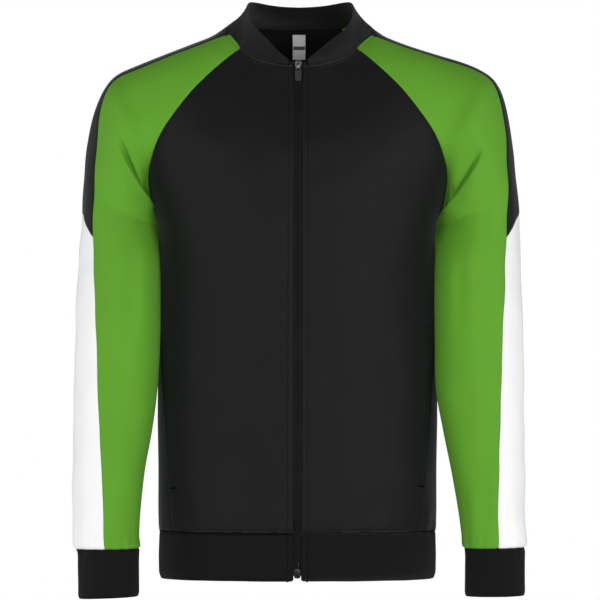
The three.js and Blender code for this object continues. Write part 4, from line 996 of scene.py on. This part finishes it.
halves = [neck_part(False), neck_part(True)]
neck = np.concatenate([halves[0], halves[1][::-1][1:]])
far = lengths(neck, 0)
mid_far = lengths(halves[0], 0)[-1]
whole = far[-1]
ends = np.array([0.0, 0.3, 0.8, 1.6, 2.8, 4.4])
at = np.concatenate([ends, np.linspace(4.4, whole - 4.4, 230)[1:-1], whole - ends[::-1]])
s = np.stack([np.interp(at, far, neck[:, k]) for k in range(3)], -1)
near = np.where(at <= mid_far, at / mid_far, (whole - at) / (whole - mid_far))
ri = np.clip(np.searchsorted(COLLAR["at"], near, side="right") - 1, 0, len(COLLAR["at"]) - 2)
pos = ri + (near - COLLAR["at"][ri]) / (COLLAR["at"][ri + 1] - COLLAR["at"][ri])
edge_z = along(COLLAR, "z", pos)
edge = pt(np.where(at < mid_far, -along(COLLAR, "rightX", pos), along(COLLAR, "leftX", pos)) + sway(edge_z), along(COLLAR, "y", pos), edge_z)
knee = pt(s[:, 0] + 0.72 * (edge[:, 0] - s[:, 0]), s[:, 1] + 0.72 * (edge[:, 1] - s[:, 1]), s[:, 2] + 0.34 * (edge[:, 2] - s[:, 2]))
h = np.concatenate([[0.002, 0.012, 0.03, 0.06], np.linspace(0.09, 0.93, 24), [0.955, 0.975, 0.99, 1.0]])[:, None, None]
p = s[None] * (1 - h) ** 2 + knee[None] * 2 * h * (1 - h) + edge[None] * h * h
e = edges(p)
nv = normals(p, -1)
tall = e["t"] + e["b"]
d = ditch(e["t"], 1.3, 1.8) * smooth(np.minimum(e["l"], e["r"]) / 9) + 0.8 * np.sin(np.pi * np.clip(e["t"] / np.maximum(tall, 1), 0, 1)) * np.clip(tall / 40, 0, 1)
ripple = np.sin(at / 31 + 0.7) * 0.5 + np.sin(at / 17 + 2.1) * 0.25
d = d + ripple[None] * np.sin(np.pi * np.clip(e["t"] / np.maximum(tall, 1), 0, 1))
p = p + nv * d[..., None]
ob, nv = shell("collar_rib", p, RIB, -1, "0111")
dress(ob, "collar_rib", nodes=["collar"])

# ---------------------------------------------------------------- zip
centre = settle(pt(np.zeros(19), BODY["frontY"], BODY["frontZ"]))
tape_rows = []
for i, c in enumerate(centre):
    y = c[1] + CAD_CLOTH + LYING + (CAD_RIB - CAD_CLOTH if i == 18 else 0)
    if i == 0:
        tape_rows += [(c[0], y, c[2] + 5.0, TAPE_NECK), (c[0], y, c[2] + 0.6, TAPE_NECK), (c[0], y - 1.2, c[2] - 3, TAPE_HALF)]
    else:
        tape_rows.append((c[0], y, c[2], TAPE_HALF))
low = centre[18]
for dr, fu in list(zip(BAND["drop"], BAND["full"]))[1:]:
    tape_rows.append((low[0], low[1] * fu + CAD_RIB + LYING, low[2] - dr + (TAPE_SHORT if dr == HEM_TALL else 0), TAPE_HALF))
tape_rows = np.array(tape_rows)
tfar = lengths(tape_rows[:, :3], 0)
SPAN = tfar[-1]


def on_tape(at):
    return np.stack([np.interp(at, tfar, tape_rows[:, k]) for k in range(4)], -1)


def tape_frame(at):
    a, b = on_tape(np.maximum(at - 2, 0)), on_tape(np.minimum(at + 2, SPAN))
    down = unit((b - a)[..., :3])
    up = unit(np.cross(down, np.broadcast_to([1.0, 0, 0], down.shape)))
    up = np.where(up[..., 1:2] > 0, -up, up)
    return down, up


# Each tape turns over its own teeth in a soft bead, and the two beads meet in a fine line.
profile = table("x y", [[0.18, 1.2], [0.2, 0.55], [0.3, 0.1], [0.65, -0.28], [1.2, -0.42], [1.9, -0.34], [2.5, -0.06], [2.9, 0.12], [3.5, 0.18], [5.0, 0.2], [8.0, 0.24], [1e3, 0.25]])
at = np.arange(0, SPAN, 2.0)
at = np.append(at, SPAN)
c, (down, up) = on_tape(at), tape_frame(at)
for left in (False, True):
    s = 1 if left else -1
    px_, py_ = profile["x"].copy(), profile["y"]
    p = []
    for k in range(len(px_)):
        x = np.minimum(px_[k], c[:, 3] + 0 * px_[k]) if px_[k] > 100 else np.full(len(at), px_[k])
        beadfade = smooth((SPAN - 12 - at) / 8) if k < 8 else 1.0
        fleck = 0.05 * np.sin(at * 2 * math.pi / 1.9 + (0 if left else math.pi)) if 2 < k < 6 else 0.0
        y = py_[k] * (beadfade if np.ndim(beadfade) else 1.0) + fleck
        p.append(np.stack([c[:, 0] + s * x, c[:, 1], c[:, 2]], -1) - up * np.reshape(y, (-1, 1)))
    p = np.stack(p, 1)
    ob, nv = shell("zip_tape_%s_woven" % ("left" if left else "right"), p, 0.75, -s, "1101")
    dress(ob, "black_tape", nodes=["zip_tape_" + ("left" if left else "right")])

# The coil behind the beads, wound in one long thread of loops.
turns = int((SPAN - 34) / 1.45)
k = np.linspace(0, turns * 2 * math.pi, turns * 10)
at = 15 + k / (2 * math.pi) * 1.45
c, (down, up) = on_tape(at), tape_frame(at)
pathc = c[:, :3] + np.array([1.0, 0, 0]) * (2.6 * np.cos(k))[:, None] - up * (1.75 + 0.75 * np.sin(k))[:, None]
way = unit(np.gradient(pathc, axis=0))
side = unit(np.cross(way, up))
third = np.cross(side, way)
rc = 0.33
ringc = np.stack([pathc + (side * math.cos(w) + third * math.sin(w)) * rc for w in np.arange(5) * 2 * math.pi / 5], 1)
n = len(pathc)
ids = np.arange(n * 5).reshape(n, 5)
quads = np.stack([ids[:-1], np.roll(ids, -1, 1)[:-1], np.roll(ids, -1, 1)[1:], ids[1:]], -1).reshape(-1, 4)
caps = [[ids[0, 2], ids[0, 1], ids[0, 0]], [ids[0, 3], ids[0, 2], ids[0, 0]], [ids[0, 4], ids[0, 3], ids[0, 0]],
        [ids[-1, 0], ids[-1, 1], ids[-1, 2]], [ids[-1, 0], ids[-1, 2], ids[-1, 3]], [ids[-1, 0], ids[-1, 3], ids[-1, 4]]]
coil = mesh("zip_coil", ringc.reshape(-1, 3), quads, caps)
dress(coil, "pull_rubber")


def outline(pts, r, seg=5):
    """Rounds the corners of a closed outline: r is one radius, or one for each corner."""
    out, n = [], len(pts)
    rr = r if hasattr(r, "__len__") else [r] * n
    for i in range(n):
        a, b, c = (np.array(pts[(i + k) % n], float) for k in (-1, 0, 1))
        u, v = a - b, c - b
        lu, lv = np.linalg.norm(u), np.linalg.norm(v)
        u, v = u / lu, v / lv
        half = math.acos(max(-1, min(1, float(u @ v)))) / 2
        cut_ = min(rr[i] / math.tan(half), 0.48 * lu, 0.48 * lv)
        p0, p1 = b + u * cut_, b + v * cut_
        for k in range(seg + 1):
            t = k / seg
            out.append((1 - t) ** 2 * p0 + 2 * t * (1 - t) * b + t * t * p1)
    return out


def plate(pts, y0, y1, bevel=0.25, seg=3, holes=()):
    """A solid plate in the XZ plane from y0 to y1, its edges rounded by bevel. Returns a bmesh in mm."""
    bm = bmesh.new()
    loops = [pts, *holes]
    rings = []
    for lp in loops:
        vs = [bm.verts.new((x, y0, z)) for x, z in lp]
        rings.append([bm.edges.new((vs[i], vs[(i + 1) % len(vs)])) for i in range(len(vs))])
    if holes:
        bmesh.ops.triangle_fill(bm, use_beauty=True, use_dissolve=True, edges=[e for r in rings for e in r])
    else:
        bm.faces.new([e.verts[0] for e in rings[0]])
    faces = list(bm.faces)
    ext = bmesh.ops.extrude_face_region(bm, geom=faces)
    moved = [g for g in ext["geom"] if isinstance(g, bmesh.types.BMVert)]
    bmesh.ops.translate(bm, verts=moved, vec=(0, y1 - y0, 0))
    bmesh.ops.recalc_face_normals(bm, faces=bm.faces)
    if bevel:
        rim = [e for e in bm.edges if len(e.link_faces) == 2 and e.calc_face_angle(0) > math.radians(50)]
        bmesh.ops.bevel(bm, geom=rim, offset=bevel, segments=seg, profile=0.5, affect="EDGES", clamp_overlap=True)
    return bm


def joined(name, parts, place, look, body="root", nodes=()):
    """One object from several bmeshes in mm, placed by a matrix in mm."""
    bm = bmesh.new()
    for part in parts:
        me = bpy.data.meshes.new("part")
        part.to_mesh(me)
        part.free()
        bm.from_mesh(me)
        bpy.data.meshes.remove(me)
    bmesh.ops.transform(bm, matrix=Matrix.Scale(0.001, 4) @ place, verts=bm.verts)
    bmesh.ops.recalc_face_normals(bm, faces=bm.faces)
    me = bpy.data.meshes.new(name)
    bm.to_mesh(me)
    bm.free()
    me.polygons.foreach_set("use_smooth", np.ones(len(me.polygons), bool))
    ob = bpy.data.objects.new(name, me)
    bpy.context.scene.collection.objects.link(ob)
    return dress(ob, look, body=body, nodes=nodes)


def tube(points, r, sides=12):
    """A round bar through points, closed at both ends. r is one radius, or one for each point."""
    p = np.array(points, float)
    rr = np.broadcast_to(r, len(p))
    way = unit(np.gradient(p, axis=0))
    ref = np.array([0, 0, 1.0]) if abs(way[0, 2]) < 0.9 else np.array([1.0, 0, 0])
    side = unit(np.cross(way, ref))
    third = np.cross(side, way)
    bm = bmesh.new()
    rings = [[bm.verts.new(tuple(p[i] + (side[i] * math.cos(w) + third[i] * math.sin(w)) * rr[i])) for w in np.arange(sides) * 2 * math.pi / sides] for i in range(len(p))]
    for a, b in zip(rings, rings[1:]):
        for k in range(sides):
            bm.faces.new([a[k], a[(k + 1) % sides], b[(k + 1) % sides], b[k]])
    bm.faces.new(rings[0][::-1])
    bm.faces.new(rings[-1])
    bmesh.ops.recalc_face_normals(bm, faces=bm.faces)
    return bm


# Slider: body plate with a flared crown, side flanges, and the bridge that carries the pull.
tilt = math.radians(SLIDER["tilt"])
slider_at = Vector((centre[0, 0], tape_rows[1, 1] - SLIDER["off"], SLIDER["z"]))
put_slider = Matrix.Translation(slider_at) @ Matrix.Rotation(tilt, 4, "X")
sw, sh, st = SLIDER["w"] / 2, SLIDER["h"] / 2, SLIDER["t"]
body_line_ = outline([(-2.2, sh), (2.2, sh), (sw, sh - 2.6), (sw - 0.2, 0.4), (sw - 1.3, -sh + 0.7), (sw - 1.9, -sh), (-sw + 1.9, -sh), (-sw + 1.3, -sh + 0.7), (-sw + 0.2, 0.4), (-sw, sh - 2.6)], 1.1)
raised = outline([(-1.4, sh - 1.2), (1.4, sh - 1.2), (sw - 1.2, sh - 3.2), (sw - 1.7, -sh + 1.7), (-sw + 1.7, -sh + 1.7), (-sw + 1.2, sh - 3.2)], 0.9)
face = -st
bt, bf, bl = BRIDGE["top"], BRIDGE["foot"], BRIDGE["lift"]
arch = [(0, face + 0.5, bt - 0.1), (0, face - 0.6, bt - 0.15), (0, face - bl + 0.2, bt - 0.75), (0, face - bl - 0.35, bt - 2.0), (0, face - bl - 0.5, (bt + bf) / 2 + 0.6),
        (0, face - bl - 0.42, bf + 2.2), (0, face - bl + 0.1, bf + 0.9), (0, face - 0.6, bf + 0.5), (0, face + 0.5, bf + 0.55)]
t = np.linspace(0, len(arch) - 1, 30)
arch = np.stack([np.interp(t, range(len(arch)), [q[k] for q in arch]) for k in range(3)], -1)
wing = lambda s: plate(outline([(s * 1.1, sh - 0.4), (s * 2.5, sh - 0.8), (s * 3.5, sh - 3.0), (s * 3.0, sh - 4.4), (s * 1.5, sh - 3.2)], 0.6), face - 0.75, face + 0.3, 0.28)
parts = [plate(body_line_, 0, face, 0.45, 3), plate(raised, face + 0.2, face - 0.45, 0.22, 2), tube(arch, 0.68, 10), wing(1), wing(-1)]
joined("slider_metal", parts, put_slider, "zip_metal", nodes=["slider"])

# Pull tab: moulded, with a wire eye at its top and a shallow groove down the middle. It hangs from the bridge and rides its own body.
pull_at = put_slider @ Vector((0, face - bl / 2, PULL["z"]))
put_pull = Matrix.Translation(pull_at) @ Matrix.Rotation(tilt, 4, "X")
zt = PULL["bar"] / 2
zw = zt - PULL["bar"] - PULL["window"]
ze = zt - PULL["len"]
T = PULL["t"] / 2
tab = outline([(-3.2, zw + 1.4), (3.2, zw + 1.4), (4.3, zw - 0.8), (3.6, ze), (-3.6, ze), (-4.3, zw - 0.8)], [1.0, 1.0, 1.4, 1.9, 1.9, 1.4], 6)
slot_ = outline([(-0.75, zw - 1.8), (0.75, zw - 1.8), (0.6, ze + 2.0), (-0.6, ze + 2.0)], 0.5, 4)
eye = [(-2.2, 0, zw + 1.2), (-2.3, 0, zw + 2.6), (-2.3, 0, zt - 1.6), (-1.9, 0, zt - 0.75), (-1.1, 0, zt - 0.55), (0, 0, zt - 0.52), (1.1, 0, zt - 0.55), (1.9, 0, zt - 0.75), (2.3, 0, zt - 1.6), (2.3, 0, zw + 2.6), (2.2, 0, zw + 1.2)]
t = np.linspace(0, len(eye) - 1, 41)
eye = np.stack([np.interp(t, range(len(eye)), [q[k] for q in eye]) for k in range(3)], -1)
joined("pull_eye", [tube(eye, 0.52, 10)], put_pull, "zip_metal", body="pull")
rim = plate(tab, T, -T, 0.4, 4)
inset = plate(outline([(-2.6, zw + 0.2), (2.6, zw + 0.2), (3.4, zw - 1.2), (2.8, ze + 1.1), (-2.8, ze + 1.1), (-3.4, zw - 1.2)], 0.8, 4), -T + 0.1, -T - 0.12, 0.1, 2, holes=[slot_])
joined("pull_tab_rubber", [rim, inset], put_pull, "pull_rubber", body="pull", nodes=["pull_tab"])

# Retainer box and pin at the foot of the zip.
foot = tape_rows[-2]
put_foot = Matrix.Translation(Vector((foot[0], foot[1] - LYING, RETAINER["z"])))
rw, rh, rt = RETAINER["w"] / 2, RETAINER["h"] / 2, RETAINER["t"]
box_line = outline([(-rw, rh - 1.6), (-1.6, rh), (1.6, rh), (rw, rh - 1.6), (rw - 0.3, -rh + 1.8), (rw - 1.8, -rh), (-rw + 1.8, -rh), (-rw + 0.3, -rh + 1.8)], 0.9)
rib_bar = lambda z, w_: plate(outline([(-w_, z + 0.55), (w_, z + 0.55), (w_, z - 0.55), (-w_, z - 0.55)], 0.4, 4), -rt + 0.3, -rt - 0.32, 0.2, 2)
pin = plate(outline([(0.5, rh + 8), (2.3, rh + 8), (2.5, rh - 1), (0.4, rh - 1)], 0.5, 4), -0.9, -2.3, 0.3, 2)
joined("retainer_box_metal", [plate(box_line, 0, -rt, 0.5, 3), rib_bar(1.6, 2.6), rib_bar(-1.4, 3.0), pin], put_foot, "dark_metal", nodes=["retainer_box"])

# ---------------------------------------------------------------- inside the neck
f = lambda v, k: np.where((np.asarray(k) > 0)[..., None], on_side(True, body_point(True, v, np.abs(k) * 0.985)), on_side(False, body_point(True, v, np.abs(k) * 0.985)))
vs = np.interp(np.linspace(0, 1, 15), [0, 1], [0.06, NECK_TAPE / 30])
ks = np.linspace(-1, 1, 121)
p = f(vs[:, None] + 0 * ks[None], ks[None] + 0 * vs[:, None])
nv = normals(p, 1)
arch_ = np.linspace(0, 1, 15)[:, None]
p = p - nv * (CAD_CLOTH + LYING + 0.35 * (1 - np.sin(np.pi * arch_)))[..., None]
ob, nt = shell("neck_tape_woven", p, 0.75, 1, "1111")
dress(ob, "black_tape", nodes=["neck_tape"])
inner = p - nt * 0.75
inside = Heap()
for i in (2, 12):
    inside.seam(inner[i, 2:-2], -nt[i, 2:-2], pitch=2.9, r=0.24)

# Blank woven label with one plain band, stitched to the tape at its top edge.
tape_y = 66 - CAD_CLOTH - LYING - TAPE
zz = np.concatenate([[LABEL_Z[0], LABEL_Z[0] - 0.4], np.linspace(LABEL_Z[0] - 1.2, LABEL_Z[1] + 1.2, 40), [LABEL_Z[1] + 0.4, LABEL_Z[1]]])
xx = np.concatenate([[-LABEL_W / 2, -LABEL_W / 2 + 0.4], np.linspace(-LABEL_W / 2 + 1.2, LABEL_W / 2 - 1.2, 18), [LABEL_W / 2 - 0.4, LABEL_W / 2]])
kz = (zz - LABEL_Z[0]) / (LABEL_Z[1] - LABEL_Z[0])
p = np.stack(np.broadcast_arrays(LABEL_X + xx[None] * (1 - 0.01 * np.sin(3 * kz)[:, None]), (tape_y - 2.2 + kz * 3)[:, None] + 0.35 * np.sin(xx / 5.2)[None] * kz[:, None] + 0.3 * np.sin(kz * 5)[:, None], zz[:, None]), -1)
ob, nl = shell("label_woven", p, 0.5, -1 if normals(p, 1)[5, 5, 1] > 0 else 1, "1111")
dress(ob, "label_cloth", nodes=["label"])
nl = nl * np.sign(-nl[5, 5, 1])
band = (kz > 0.46) & (kz < 0.62)
pb = p[band][:, 1:-1] + nl[band][:, 1:-1] * 0.09
ob, _ = shell("label_band", pb, 0.12, -1 if normals(pb, 1)[2, 2, 1] > 0 else 1, "1111")
dress(ob, "label_dark")
white = Heap()
for k in (2, -3):
    white.seam(p[2:-2, k] + nl[2:-2, k] * 0.05, nl[2:-2, k], pitch=1.5, long=1.15, r=0.14)
white.seam(p[2, 1:-1] + nl[2, 1:-1] * 0.05, nl[2, 1:-1], pitch=1.5, long=1.15, r=0.14)
dress(white.object("label_stitches"), "white_thread")

# the thread object also holds the painted-shade cords of the hem seam and the pocket mouths
dress(threads.object("topstitching_and_seam_shade"), "black_thread")
dress(inside.object("neck_tape_stitches"), "black_thread")
M["green_thread"] = woven("thread_green", rgb(96, 160, 42), rgb(76, 134, 32), pitch=0.4, herring=False)
dress(green_threads.object("neck_stitches_green"), "green_thread")

# ---------------------------------------------------------------- floor, light and camera
FLOOR_Z = -1.45
bm = bmesh.new()
bmesh.ops.create_circle(bm, cap_ends=True, cap_tris=False, segments=96, radius=7.5)
bmesh.ops.translate(bm, verts=bm.verts, vec=(0, 0, FLOOR_Z))
me = bpy.data.meshes.new("floor")
bm.to_mesh(me)
bm.free()
floor = bpy.data.objects.new("floor", me)
bpy.context.scene.collection.objects.link(floor)
k = Mat("floor", 0.9, spec=0.2)
where = k.node("ShaderNodeTexCoord").outputs["Object"]
k.t.links.new(k.mix((0.86, 0.86, 0.86, 1), (0.89, 0.89, 0.89, 1), k.noise(where, 1.4, 2.0)), k.b.inputs["Base Color"])
floor.data.materials.append(k.m)

world = bpy.data.worlds.new("studio")
bpy.context.scene.world = world
world.use_nodes = True
nt_ = world.node_tree
nt_.nodes.clear()
out = nt_.nodes.new("ShaderNodeOutputWorld")
soft, plain, pick, ray = (nt_.nodes.new(k) for k in ("ShaderNodeBackground", "ShaderNodeBackground", "ShaderNodeMixShader", "ShaderNodeLightPath"))
soft.inputs[0].default_value, soft.inputs[1].default_value = (1, 1, 1, 1), 0.16
plain.inputs[0].default_value, plain.inputs[1].default_value = (1, 1, 1, 1), 1.0
nt_.links.new(ray.outputs["Is Camera Ray"], pick.inputs[0])
nt_.links.new(soft.outputs[0], pick.inputs[1])
nt_.links.new(plain.outputs[0], pick.inputs[2])
nt_.links.new(pick.outputs[0], out.inputs[0])


def area(name, at, aim, size, power):
    d = bpy.data.lights.new(name, "AREA")
    d.shape, d.size, d.size_y, d.energy = "RECTANGLE", size[0], size[1], power
    o = bpy.data.objects.new(name, d)
    bpy.context.scene.collection.objects.link(o)
    o.location = at
    o.rotation_euler = (Vector(aim) - Vector(at)).to_track_quat("-Z", "Y").to_euler()
    return o


MID = (0, 0, -0.35)
area("key_right", (2.9, -3.4, 0.1), MID, (2.0, 2.0), 92)
area("fill_left", (-2.9, -3.4, -0.1), MID, (2.0, 2.0), 62)
area("front", (0.0, -5.8, -0.15), (0, 0, -0.3), (3.4, 1.0), 72)
area("side_left", (-3.4, 0.2, -0.1), MID, (1.6, 2.2), 32)
area("side_right", (3.4, 0.2, -0.1), MID, (1.6, 2.2), 15)
area("top", (0.0, -0.8, 2.8), MID, (2.6, 2.0), 4)

scene = bpy.context.scene
scene.view_settings.view_transform = "Standard"
scene.view_settings.look = "None"
cam = bpy.data.cameras.new("camera")
cam.sensor_width, cam.lens = 36, 36 / 0.762 * 5.0
cam.clip_start, cam.clip_end = 0.1, 60
camera = bpy.data.objects.new("camera", cam)
scene.collection.objects.link(camera)
camera.location = (0.0019, -5.0, -0.347)
camera.rotation_euler = (math.radians(90), 0, 0)
scene.camera = camera

bpy.context.view_layer.update()
